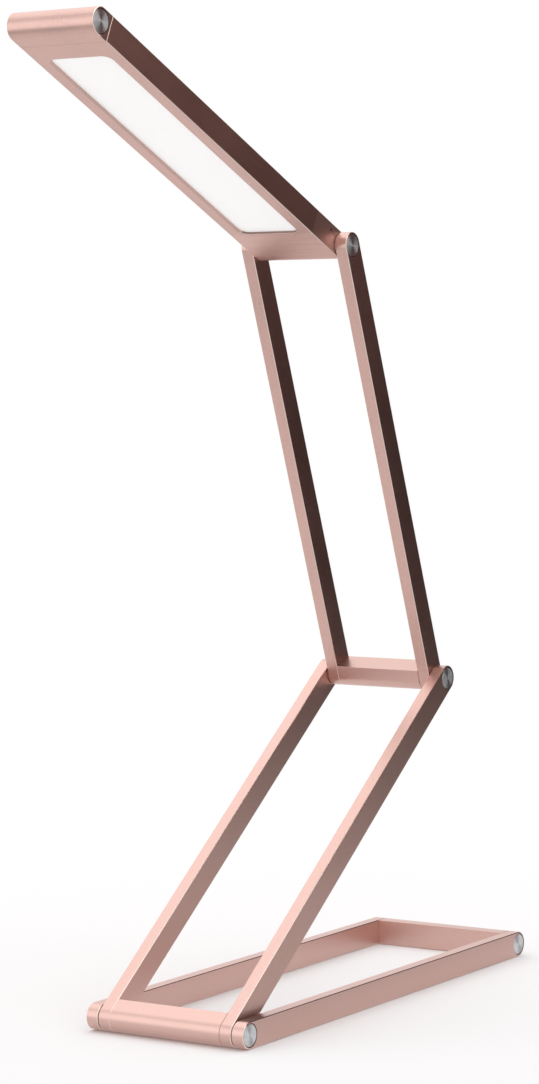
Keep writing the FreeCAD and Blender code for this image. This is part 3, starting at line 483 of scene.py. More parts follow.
def rise(tree, value, low, high):
    """A smooth rise from 0 at low to 1 at high."""
    return add_node(
        tree, "MapRange", {"interpolation_type": "SMOOTHSTEP"}, Value=value, From_Min=low, From_Max=high
    ).outputs[0]


def blend(tree, pattern, most, first, second):
    """Two colours mixed by a pattern, with at most that share of the second."""
    return mix_colour(tree, spread(tree, pattern, 0.0, most), first, second)


def object_pattern(tree, turn=0.0, stretch=(1.0, 1.0, 1.0)):
    """Object coordinates turned about the hinge direction, then stretched."""
    source = add_node(tree, "TexCoord").outputs["Object"]
    turned = add_node(tree, "Mapping", Vector=source, Rotation=(0.0, turn, 0.0))
    return add_node(tree, "Mapping", Vector=turned.outputs[0], Scale=stretch).outputs[0]


def noise(tree, vector, scale, detail=2.0, rough=0.5):
    """A noise pattern's value, about 0.5 on average."""
    return add_node(
        tree, "TexNoise", Vector=vector, Scale=scale, Detail=detail, Roughness=rough
    ).outputs[0]


def bump(tree, height, depth, strength=1.0):
    """A bumped normal from a pattern's height, its full depth in metres."""
    return add_node(tree, "Bump", Height=height, Strength=strength, Distance=depth).outputs[0]


def empty_tree(data):
    """The node tree of a material or world, emptied."""
    data.use_nodes = True
    data.node_tree.nodes.clear()
    return data.node_tree


def new_material(name):
    """A new material with its tree and its shader."""
    material = bpy.data.materials.new(name)
    tree = empty_tree(material)
    shader = add_node(tree, "BsdfPrincipled")
    add_node(tree, "OutputMaterial", Surface=shader.outputs[0])
    return material, tree, shader


def rose_metal(name, colours, turn, stretch, coarse, brushed=None):
    """Rose anodised metal: fine bead-blasted grain, faint drawing lines, slow clouds and bright cut edges.

    Base colour = rose x grain x speckle x lines, mixed to the cut edge's colour by the polish attribute where
    it is above 0, and darkened to a painted shade where it is below 0. On the polished edge the roughness
    falls and the grain's bump fades. coarse is the strength of the speckle. brushed is a link and a distance
    along it: up to there the metal is brushed across the link.
    """
    material, tree, shader = new_material(name)
    rose = colours.rose
    plain = object_pattern(tree)
    grain = noise(tree, plain, 2600.0, 3.0, 0.6)
    speckle = noise(tree, plain, 900.0, 2.0, 0.7)
    cloud = noise(tree, plain, 38.0, 2.0)
    lines = noise(tree, object_pattern(tree, turn, stretch), 900.0, 2.0)
    # the polish attribute: above 0 on polished edges, below 0 where painted shade darkens the window's near
    # wall
    edge = add_node(tree, "Attribute", {"attribute_name": POLISH}).outputs["Fac"]
    polish = math_node(tree, "MAXIMUM", edge, 0.0)
    painted_shade = math_node(tree, "MAXIMUM", product(tree, edge, -1.0), 0.0)
    shade = blend(tree, grain, 1.0, scaled(rose, 0.92), scaled(rose, 1.07))
    shade = blend(tree, speckle, 0.8 * coarse, shade, scaled(rose, 0.78))
    shade = blend(tree, lines, 0.6, shade, scaled(rose, 0.94))
    shade = blend(tree, cloud, 0.55, shade, opaque((rose[0], rose[1] * 0.97, rose[2] * 0.94)))
    satin = math_node(tree, "ADD", spread(tree, grain, 0.30, 0.40), spread(tree, cloud, -0.02, 0.02))
    relief = math_node(tree, "MULTIPLY_ADD", speckle, 1.2 * coarse, grain)
    if brushed:
        link, reach = brushed
        brush = noise(tree, object_pattern(tree, link.angle, (1.0, 0.015, 1.0)), 2400.0, 3.0, 0.6)
        along = measure(tree, "DOT_PRODUCT", plain, link.along)
        ahead = math_node(tree, "SUBTRACT", float(link.start @ link.along) + reach, along)
        zone = add_node(tree, "Clamp", Value=product(tree, ahead, 4.0 / MM)).outputs[0]
        streaks = blend(tree, brush, 1.0, scaled(rose, 0.84), scaled(rose, 1.08))
        shade = mix_colour(tree, zone, shade, streaks)
        satin = math_node(tree, "MULTIPLY_ADD", zone, 0.08, satin)
        relief = math_node(tree, "MULTIPLY_ADD", math_node(tree, "SUBTRACT", brush, relief), zone, relief)
    shade = mix_colour(tree, polish, shade, opaque(colours.cut_edge))
    # painted shade: where the polish attribute is below 0 the colour is darkened to a dark rose
    shade = mix_colour(tree, painted_shade, shade, scaled(rose, 0.42))
    rough = math_node(tree, "MULTIPLY_ADD", polish, -0.14, satin)
    relief = product(tree, relief, math_node(tree, "SUBTRACT", 1.0, polish))
    normal = bump(tree, relief, 0.012 * MM, 0.6)
    plug(tree, shader, Base_Color=shade, Metallic=1.0, Roughness=rough, Normal=normal)
    return material


def turned_steel(name, colours):
    """Turned steel: reflections stretched square to the grooves, with fine rings in colour and roughness.

    The turning map's v is the radius over the disc's radius, so a wave in v is a set of rings.
    """
    material, tree, shader = new_material(name)
    turning = add_node(tree, "UVMap", {"uv_map": TURNING_MAP}).outputs[0]
    radius = add_node(tree, "SeparateXYZ", Vector=turning).outputs[1]
    ring = noise(tree, add_node(tree, "CombineXYZ", X=radius).outputs[0], 60.0, 3.0, 0.7)
    sweep = add_node(tree, "Mapping", Vector=turning, Scale=(1.0, 40.0, 1.0)).outputs[0]
    tangent = add_node(tree, "Tangent", {"direction_type": "UV_MAP", "uv_map": TURNING_MAP})
    shade = blend(tree, ring, 1.0, scaled(colours.disc, 0.86), scaled(colours.disc, 1.1))
    shade = blend(tree, noise(tree, sweep, 3.0, 2.0), 0.4, shade, scaled(colours.disc, 1.2))
    plug(
        tree,
        shader,
        Base_Color=shade,
        Metallic=1.0,
        Roughness=spread(tree, ring, 0.36, 0.42),
        Anisotropic=0.99,
        Anisotropic_Rotation=0.25,
        Tangent=tangent.outputs[0],
        Normal=bump(tree, ring, 0.004 * MM, 0.5),
    )
    return material


def opal_acrylic(name, colours):
    """Opal acrylic: satin white, slightly lit from behind, with a very fine frosted face."""
    material, tree, shader = new_material(name)
    plain = object_pattern(tree)
    frost, cloud = noise(tree, plain, 3000.0, 2.0), noise(tree, plain, 30.0, 1.0)
    plug(
        tree,
        shader,
        Base_Color=blend(tree, cloud, 1.0, scaled(colours.panel, 0.99), scaled(colours.panel, 1.01)),
        Roughness=spread(tree, frost, 0.36, 0.46),
        Normal=bump(tree, frost, 0.01 * MM, 0.5),
        Emission_Color=opaque(colours.panel),
        Emission_Strength=0.19,
    )
    return material


def grained(name, rgb, rough, metallic, grain_mm, contrast, depth_mm, **more):
    """A general finish: a grain and a slow cloud move the colour, and the grain the roughness and bump."""
    material, tree, shader = new_material(name)
    plain = object_pattern(tree)
    grain = noise(tree, plain, 1.0 / (grain_mm * MM), 3.0, 0.6)
    cloud = noise(tree, plain, 0.1 / (grain_mm * MM), 2.0)
    shade = blend(tree, grain, 1.0, scaled(rgb, 1.0 - contrast), scaled(rgb, 1.0 + contrast))
    plug(
        tree,
        shader,
        Base_Color=blend(tree, cloud, 0.5, shade, scaled(rgb, 1.0 - contrast / 2)),
        Metallic=metallic,
        Roughness=spread(tree, grain, rough - 0.05, rough + 0.05),
        Normal=bump(tree, grain, depth_mm * MM, 0.6),
        **more,
    )
    return material


# finishes of the inner nodes: name, endings of nodes, colour, roughness, metallic, grain, contrast, relief
HARDWARE = (
    ("screw_steel", ("screws",), (0.56, 0.57, 0.58), 0.30, 1.0, 0.3, 0.08, 0.004),
    ("spring_steel", ("spring_washers",), (0.42, 0.42, 0.43), 0.34, 1.0, 0.4, 0.10, 0.004),
    ("washer_plastic", ("friction_washers",), (0.80, 0.78, 0.74), 0.45, 0.0, 0.5, 0.04, 0.01),
    ("insert_brass", ("inserts",), (0.78, 0.58, 0.30), 0.32, 1.0, 0.4, 0.08, 0.006),
    ("clear_acrylic", ("light_guide",), (0.90, 0.93, 0.93), 0.12, 0.0, 2.0, 0.02, 0.002),
    ("white_film", ("reflector_sheet",), (0.92, 0.92, 0.92), 0.50, 0.0, 0.6, 0.02, 0.004),
    ("grey_foam", ("pressing_foam",), (0.20, 0.20, 0.21), 0.90, 0.0, 0.8, 0.25, 0.12),
    ("strip_board", ("led_strip",), (0.88, 0.88, 0.86), 0.45, 0.0, 0.6, 0.04, 0.006),
    ("led_phosphor", ("led_chips",), (0.92, 0.80, 0.36), 0.40, 0.0, 0.3, 0.06, 0.006),
    ("battery_foil", ("battery",), (0.62, 0.63, 0.64), 0.36, 1.0, 3.0, 0.10, 0.05),
    ("mounting_tape", ("battery_tape",), (0.84, 0.82, 0.76), 0.75, 0.0, 0.5, 0.08, 0.02),
    ("wire_insulation", ("_leads", "touch_lead"), (0.45, 0.03, 0.03), 0.38, 0.0, 0.3, 0.06, 0.004),
    ("board_laminate", ("circuit_board",), (0.03, 0.16, 0.07), 0.35, 0.0, 0.5, 0.12, 0.006),
    ("component_resin", ("board_components",), (0.03, 0.03, 0.032), 0.50, 0.0, 0.3, 0.15, 0.006),
    ("insulator_plastic", ("touch_insulator",), (0.06, 0.06, 0.06), 0.45, 0.0, 0.3, 0.10, 0.006),
    ("contact_bronze", ("touch_contact",), (0.72, 0.48, 0.26), 0.30, 1.0, 0.4, 0.08, 0.004),
)


# ---------------------------------------------------------------- operators: the pieces


class LAMP_OT_rails(bpy.types.Operator):
    """The six side rails: flat bars with round ends, cut edges and seats for discs and bars"""

    bl_idname = "lamp.rails"
    bl_label = "Build Side Rails"

    def execute(self, context):
        sizes, colours = context.scene.lamp_sizes, context.scene.lamp_colours
        for key, coarse in (("base", 0.3), ("lower", 0.8), ("upper", 1.4)):
            link = LINKS[key]
            metal = rose_metal(key + "_rail_metal", colours, link.angle, ALONG_LINK, coarse)
            for side, word in ((RIGHT, "right"), (LEFT, "left")):
                shell = self.rail(sizes, link, side, self.seats(sizes, key, link.length))
                shell.build(f"{key}_{word}_rail", link, f"{link.body}_rail_{word}", "rail_metal", metal)
        return {"FINISHED"}

    def rail(self, sizes, link, side, seats):
        """A slot-shaped bar from its inner to its outer face, with the rings of each seat sunk in it."""
        outer, inner = link.half * side, (link.half - RAIL_THICKNESS) * side

        def outline(inset):
            return slot(0.0, link.length, 0.0, HALF_HEIGHT - inset)

        shell = Shell()
        faces = shell.sides(outline, *sorted((inner, outer)), sizes.edge_width)
        inner_rings, outer_rings = [], []
        for place, levels in seats:
            rings = []
            for shape, size, depth in levels:
                rings.append(shell.ring(shape((place, 0.0), size), outer - side * depth))
            shell.chain(rings)
            inner_rings.append(rings[-1])
            if levels[0][-1] > 0.0:
                shell.plate(rings[0])  # a blind hole, closed below the outer face
            else:
                outer_rings.append(rings[0])
        for face, rings in zip(faces[::side], (inner_rings, outer_rings)):
            shell.plate(face, *rings)
        return shell

    def seats(self, sizes, key, far):
        """For each end, its place and its hole's rings: outline, size and depth from the outer face."""
        recess, tongue = (circle, sizes.recess_radius), (square_ring, sizes.tongue_half)
        bore, hole = (circle, sizes.bore_radius), (circle, sizes.screw_hole)
        pivot_deep, end_deep, seat = sizes.pivot_recess, sizes.end_recess, RAIL_THICKNESS - sizes.tongue_depth
        keyed = ((*hole, seat), (*tongue, seat), (*tongue, RAIL_THICKNESS))
        pivot = ((*recess, 0.0), (*recess, pivot_deep), (*bore, pivot_deep), (*bore, RAIL_THICKNESS))
        if key == "base":
            return (0.0, pivot), (far, ((*recess, 0.0), (*recess, end_deep), (*hole, end_deep), *keyed))
        return (0.0, ((*hole, sizes.screw_skin), *keyed)), (far, pivot)


class LAMP_OT_bars(bpy.types.Operator):
    """The three cross bars: round outside and flat inside, standing between the rails"""

    bl_idname = "lamp.bars"
    bl_label = "Build Cross Bars"

    def execute(self, context):
        sizes = context.scene.lamp_sizes
        metal = rose_metal("bar_metal", context.scene.lamp_colours, 0.0, ACROSS_LINK, 0.5)
        for key, node in (("base", "base_end_bar"), ("lower", "lower_arm_bar"), ("upper", "upper_arm_bar")):
            link = LINKS[key]
            centre, inward = (link.length, -1) if key == "base" else (0.0, 1)
            outline = round_nose(centre, centre + inward * sizes.bar_flat, sizes.seam_edge, 1.0)
            half = link.half - RAIL_THICKNESS
            shell = Shell()
            for face in shell.sides(outline, -half, half, sizes.seam_edge, quarter_round(3)):
                shell.plate(face)
            shell.build(f"{key}_cross_bar", link, node, "bar_metal", metal)
        return {"FINISHED"}


class LAMP_OT_discs(bpy.types.Operator):
    """The turned discs in the side faces, grooved in fine rings"""

    bl_idname = "lamp.discs"
    bl_label = "Build Turned Discs"

    def execute(self, context):
        steel = turned_steel("turned_disc_steel", context.scene.lamp_colours)
        tip, both = LINKS["head"].length, (RIGHT, LEFT)
        # name, link that the disc rides with, its place along it, link whose side face holds it, sides, node
        rows = (
            ("base_end_turned_discs", "base", LINKS["base"].length, "base", both, "base_end_discs"),
            ("base_hinge_turned_discs", "lower", 0.0, "base", both, "base_hinge_discs"),
            ("middle_hinge_turned_discs", "upper", 0.0, "lower", both, "middle_hinge_discs"),
            ("head_hinge_turned_discs", "head", 0.0, "upper", both, "head_hinge_discs"),
            ("touch_key_disc", "head", tip, "head", (RIGHT,), "touch_disc"),
            ("tip_turned_disc", "head", tip, "head", (LEFT,), "tip_disc_left"),
        )
        for name, key, place, holder, sides, node in rows:
            mesh = self.discs(name, context.scene.lamp_sizes, LINKS[key], place, LINKS[holder].half, sides)
            finish_piece(name, mesh, LINKS[key], node, "turned_metal", steel)
        return {"FINISHED"}

    def discs(self, name, sizes, link, place, face, sides):
        """Discs of revolution: the profile (radius, depth) turned through a full circle at each side.

        The face's depth is sink + groove depth x (1 - cos(2 pi radius / pitch)) / 2, then comes the bevel,
        the rim and the flat back.
        """
        rim, back = sizes.disc_radius, sizes.disc_sink + sizes.disc_thickness
        radius = np.linspace(0.0, rim - sizes.disc_bevel, 66)
        wave = (1.0 - np.cos(2.0 * np.pi * radius / sizes.groove_pitch)) / 2.0
        depth = sizes.disc_sink + sizes.groove_depth * wave
        depth = np.append(depth, (sizes.disc_sink + sizes.disc_bevel, back, back))
        radius = np.append(radius, (rim, rim, 0.0))
        shape = (len(radius), TURN_STEPS + 1)
        turn = np.arange(shape[1]) * 2.0 * np.pi / TURN_STEPS
        index = np.arange(shape[0] * shape[1]).reshape(shape)
        quads = np.stack((index[:-1, :-1], index[:-1, 1:], index[1:, 1:], index[1:, :-1]), axis=-1)
        maps = (np.broadcast_to(turn / (2.0 * np.pi), shape), np.broadcast_to(radius[:, None] / rim, shape))
        points, faces = [], []
        for order, side in enumerate(sides):
            grid = np.empty((*shape, 3))
            grid[..., 0] = place + radius[:, None] * np.cos(turn)
            grid[..., 1] = radius[:, None] * np.sin(turn)
            grid[..., 2] = side * (face - depth[:, None])
            points.append(grid.reshape(-1, 3))
            faces.append(quads.reshape(-1, 4)[:, ::side] + order * index.size)
        faces = np.concatenate(faces)
        mesh = bpy.data.meshes.new(name)
        mesh.from_pydata(link.place(np.concatenate(points)), [], faces.tolist())
        corners = np.tile(np.stack(maps, axis=-1).reshape(-1, 2), (len(sides), 1))[faces.reshape(-1)]
        layer = mesh.uv_layers.new(name=TURNING_MAP)
        layer.data.foreach_set("uv", corners.astype(np.float32).reshape(-1))
        return clean_mesh(mesh)


class LAMP_OT_head(bpy.types.Operator):
    """The head's hollow casing with its light window, and the round end cap"""

    bl_idname = "lamp.head"
    bl_label = "Build Head"

    def execute(self, context):
        sizes, colours, link = context.scene.lamp_sizes, context.scene.lamp_colours, LINKS["head"]
        brushed = (link, sizes.window_start - 0.5 * MM)
        metal = rose_metal("head_rose_metal", colours, link.angle, ALONG_LINK, 3.0, brushed)
        self.casing(sizes, link).build("head_shell", link, "head_casing", "head_metal", metal)
        self.cap(sizes, link).build("head_tip_cap", link, "head_end_cap", "head_metal", metal)
        return {"FINISHED"}

    def casing(self, sizes, link):
        """The casing: a round-nosed slab, hollow from its far end, with the window cut through its face."""
        seam = link.length - sizes.cap_length
        cavity_half = link.half - sizes.casing_side
        cavity_up = (sizes.casing_back - HALF_HEIGHT, HALF_HEIGHT - sizes.window_depth)
        outline = round_nose(0.0, seam, sizes.seam_edge, 0.5)

        def window(grow):
            half_long = (sizes.window_end - sizes.window_start) / 2
            centre = (sizes.window_start + half_long, 0.0)
            return rounded_box(centre, half_long + grow, sizes.window_half + grow, sizes.window_corner + grow)

        light_middle = (sizes.light_place, -sizes.light_height)
        light = circle(light_middle, sizes.light_radius + sizes.fit / 2, SMALL_HOLE_STEPS)
        inlet = slot(*inlet_ends(sizes), link.level("charging_inlet"), sizes.inlet_radius + sizes.fit)
        shell = Shell()
        rims, holes = {}, {}
        for side, opening in ((LEFT, inlet), (RIGHT, light)):
            rings = shell.rim(outline, side * link.half, -side, sizes.edge_width)
            mouth = shell.ring(opening, side * link.half)
            holes[side] = shell.ring(opening, side * cavity_half)
            shell.chain(rings)
            shell.wall(mouth, holes[side])
            shell.plate(rings[0], mouth)
            rims[side] = rings[-1]
        left, right = rims[LEFT], rims[RIGHT]
        end = shell.skin(left, right)

        # the window's bevel and its wall, whose near end carries painted shade (a polish of -1)
        opening, lip = window(0.0), sizes.window_lip
        # painted shade: the wall's near end gets a polish of -1, which the rose metal turns into a dark rose
        painted_shade = np.where(opening[:, 0] < sizes.window_start + 0.3 * sizes.window_corner, -1.0, 0.0)
        rows = (
            (window(lip), 0.0, 0.0),
            (opening, lip, 0.6),
            (opening, lip + 0.05 * MM, painted_shade),
            (opening, sizes.window_depth, painted_shade),
        )
        wall = []
        for shape, depth, polish in rows:
            wall.append(shell.ring(standing(shape, HALF_HEIGHT - depth), polish=polish))
        shell.chain(wall)
        shell.plate(np.array((left[-1], left[0], right[0], right[-1])), wall[0])

        # the cavity from its mouth in the seam face, its walls cut by the inlet, the window and the light
        near, deep = (shell.box(along, cavity_up, cavity_half) for along in (seam, sizes.cavity_start))
        shell.plate(end, near)
        shell.plate(deep)
        for first, openings in enumerate(((holes[LEFT],), (wall[-1],), (holes[RIGHT],), ())):
            pair = [first, (first + 1) % 4]
            shell.plate(np.append(near[pair], deep[pair[::-1]]), *openings)
        return shell

    def cap(self, sizes, link):
        """The end cap: a round nose over the tip axis, recesses for the discs, and a spigot in the casing."""
        tip, fit = link.length, sizes.fit
        seam = tip - sizes.cap_length + sizes.seam_gap
        spigot_end = tip - sizes.cap_length - sizes.spigot_length
        spigot_half = link.half - sizes.casing_side - fit
        spigot_up = (sizes.casing_back - HALF_HEIGHT + fit, HALF_HEIGHT - sizes.window_depth - fit)
        pocket_half, pocket_up = spigot_half - sizes.spigot_wall, (-3.0 * MM, 3.0 * MM)
        pocket_end = tip + 1.5 * MM
        outline = round_nose(tip, seam, sizes.seam_edge, 0.5)
        shell = Shell()
        rims = {}
        for side, insulator in ((LEFT, 0.0), (RIGHT, 0.5 * MM)):
            rings = shell.rim(outline, side * link.half, -side, sizes.edge_width)
            recess = [
                shell.ring(circle((tip, 0.0), sizes.recess_radius), side * (link.half - depth))
                for depth in (0.0, sizes.disc_sink + sizes.disc_thickness + insulator)
            ]
            shell.chain(rings)
            shell.chain(recess)
            shell.plate(rings[0], recess[0])
            shell.plate(recess[1])
            rims[side] = rings[-1]
        left, right = rims[LEFT], rims[RIGHT]
        end = shell.skin(left, right)
        shell.strip(left[[-1, 0]], right[[-1, 0]])
        spigot = [shell.box(along, spigot_up, spigot_half) for along in (seam, spigot_end)]
        pocket = [shell.box(along, pocket_up, pocket_half) for along in (spigot_end, pocket_end)]
        shell.chain(spigot)
        shell.chain(pocket)
        shell.plate(end, spigot[0])
        shell.plate(spigot[1], pocket[0])
        shell.plate(pocket[1])
        return shell


def inlet_ends(sizes):
    """Where along the head the inlet's two half circles are centred."""
    straight = sizes.inlet_half - sizes.inlet_radius
    return sizes.inlet_place - straight, sizes.inlet_place + straight


class LAMP_OT_panel(bpy.types.Operator):
    """The opal diffuser behind the light window, and the lens of the charge light"""

    bl_idname = "lamp.panel"
    bl_label = "Build Light Panel"

    def execute(self, context):
        sizes, colours, link = context.scene.lamp_sizes, context.scene.lamp_colours, LINKS["head"]
        opal = opal_acrylic("opal_acrylic", colours)
        smoked = grained("smoked_lens", colours.lens, 0.16, 0.0, 0.3, 0.05, 0.001, Coat_Weight=0.5)
        self.diffuser(sizes, link).build("light_panel", link, "diffuser_panel", "opal_plastic", opal)
        self.lens(sizes, link).build("charge_lens", link, "charge_light_pipe", "clear_acrylic", smoked)
        return {"FINISHED"}

    def diffuser(self, sizes, link):
        """A flat slab under the window: a rounded rectangle carried through its thickness, edges eased."""
        border, thick, ease, corner = 3.0 * MM, 1.2 * MM, 0.15 * MM, 0.5 * MM
        top = HALF_HEIGHT - sizes.window_depth
        middle = (sizes.window_start + sizes.window_end) / 2
        half_long = (sizes.window_end - sizes.window_start) / 2 + border
        half = link.half - sizes.casing_side - 2 * sizes.fit
        shell = Shell()
        rings = []
        for inset, up in ((ease, top), (0.0, top - ease), (0.0, top - thick + ease), (ease, top - thick)):
            outline = rounded_box((middle, 0.0), half_long - inset, half - inset, corner)
            rings.append(shell.ring(standing(outline, up)))
        shell.closed(rings)
        return shell

    def lens(self, sizes, link):
        """A round pipe whose outer end bulges: bulge x (1 - share squared) over the share of its radius."""
        centre, radius = (sizes.light_place, -sizes.light_height), sizes.light_radius
        bulge, sink, reach = 0.12 * MM, sizes.disc_sink + 0.15 * MM, 2.3 * MM
        shares = (0.02, 0.3, 0.6, 0.85, 1.0)
        rows = [(share, link.half - sink + bulge * (1.0 - share * share)) for share in shares]
        rows.append((1.0, link.half - reach))
        shell = Shell()
        rings = []
        for share, across in rows:
            rings.append(shell.ring(circle(centre, radius * share, SMALL_HOLE_STEPS), across))
        shell.closed(rings)
        return shell


class LAMP_OT_socket(bpy.types.Operator):
    """The charging socket: a drawn steel shell and the contact tongue in its mouth"""

    bl_idname = "lamp.socket"
    bl_label = "Build Charging Socket"

    def execute(self, context):
        sizes, link = context.scene.lamp_sizes, LINKS["head"]
        steel = grained("drawn_steel", (0.60, 0.60, 0.61), 0.28, 1.0, 0.4, 0.06, 0.004)
        black = grained("tongue_plastic", (0.02, 0.02, 0.022), 0.42, 0.0, 0.3, 0.15, 0.004)
        gold = grained("contact_gold", (0.85, 0.62, 0.28), 0.24, 1.0, 0.3, 0.05, 0.002)
        up, mouth, thin = link.level("charging_inlet"), 0.2 * MM - link.half, sizes.inlet_sheet
        deep = mouth + sizes.inlet_depth
        tube = self.tube(sizes, up, mouth, deep)
        tube.build("charging_socket", link, "charging_inlet", "inlet_steel", steel)
        shell, gilt_level = self.tongue(sizes, up, mouth, deep - thin)
        piece = shell.build("socket_tongue", link, None, "insulator_plastic", black, gold)
        centres = np.empty(len(piece.data.polygons) * 3)
        piece.data.polygons.foreach_get("center", centres)
        height = np.abs((centres.reshape(-1, 3) - link.start) @ link.up - up)
        piece.data.polygons.foreach_set("material_index", (height > gilt_level).astype(np.int32))
        return {"FINISHED"}

    def tube(self, sizes, up, mouth, deep):
        """A slot-shaped cup of thin sheet, open at its mouth, its lip eased: rings outside, then inside."""
        thin, ease = sizes.inlet_sheet, 0.08 * MM
        outside = ((0.0, deep), (0.0, mouth + ease), (ease, mouth))
        inside = ((thin - ease, mouth), (thin, mouth + ease), (thin, deep - thin))
        shell = Shell()
        rings = []
        for inset, across in outside + inside:
            rings.append(shell.ring(slot(*inlet_ends(sizes), up, sizes.inlet_radius - inset), across))
        shell.closed(rings)
        return shell

    def tongue(self, sizes, up, mouth, deep):
        """A thin tongue with contacts on both faces. Returns the height above which it is gilt, too."""
        half, half_thick = sizes.inlet_half - 1.2 * MM, 0.35 * MM
        shell = Shell()
        rings = []
        for inset, across in ((0.15 * MM, mouth + 0.4 * MM), (0.0, mouth + 0.6 * MM), (0.0, deep)):
            outline = rounded_box((sizes.inlet_place, up), half - inset, half_thick - inset, 0.1 * MM)
            rings.append(shell.ring(outline, across))
        shell.closed(rings)
        for place in sizes.inlet_place + np.linspace(-0.8, 0.8, 8) * half:
            for side in (-1, 1):
                contact = rounded_box((place, up + side * 0.36 * MM), 0.12 * MM, 0.04 * MM, 0.02 * MM)
                shell.closed([shell.ring(contact, mouth + reach * MM) for reach in (0.9, 4.0)])
        return shell, half_thick + 0.002 * MM


class LAMP_OT_feet(bpy.types.Operator):
    """The four soft foot pads under the base rails"""

    bl_idname = "lamp.feet"
    bl_label = "Build Foot Pads"

    def execute(self, context):
        link = LINKS["base"]
        rubber = grained("foot_rubber", context.scene.lamp_colours.rubber, 0.75, 0.0, 0.4, 0.15, 0.02)
        floor, top = (corner[2] - link.start[2] for corner in box_of("foot_pads"))
        radius, half_straight, from_end, ease = 2.0 * MM, 10.0 * MM, 30.0 * MM, 0.25 * MM
        rows = [(ease * inset, floor + ease * drop) for inset, drop, _ in quarter_round(4)] + [(0.0, top)]
        shell = Shell()
        for place in (from_end, link.length - from_end):
            for middle in (link.half - RAIL_THICKNESS / 2, RAIL_THICKNESS / 2 - link.half):
                rings = []
                for inset, up in rows:
                    outline = slot(place - half_straight, place + half_straight, middle, radius - inset)
                    rings.append(shell.ring(standing(outline, up)))
                shell.closed(rings)
        shell.build("rubber_feet", link, "foot_pads", "pad_rubber", rubber)
        return {"FINISHED"}


class LAMP_OT_hardware(bpy.types.Operator):
    """The finishes of the screws, washers, inserts, light parts, battery and board inside the lamp"""

    bl_idname = "lamp.hardware"
    bl_label = "Finish Inner Parts"

    def execute(self, context):
        for name, endings, *finish in HARDWARE:
            material = grained(name, *finish)
            for node_name, node in frame["nodes"].items():
                if node_name.endswith(endings):
                    for material_slot in node.material_slots:
                        material_slot.material = material
        return {"FINISHED"}


# ---------------------------------------------------------------- the stage


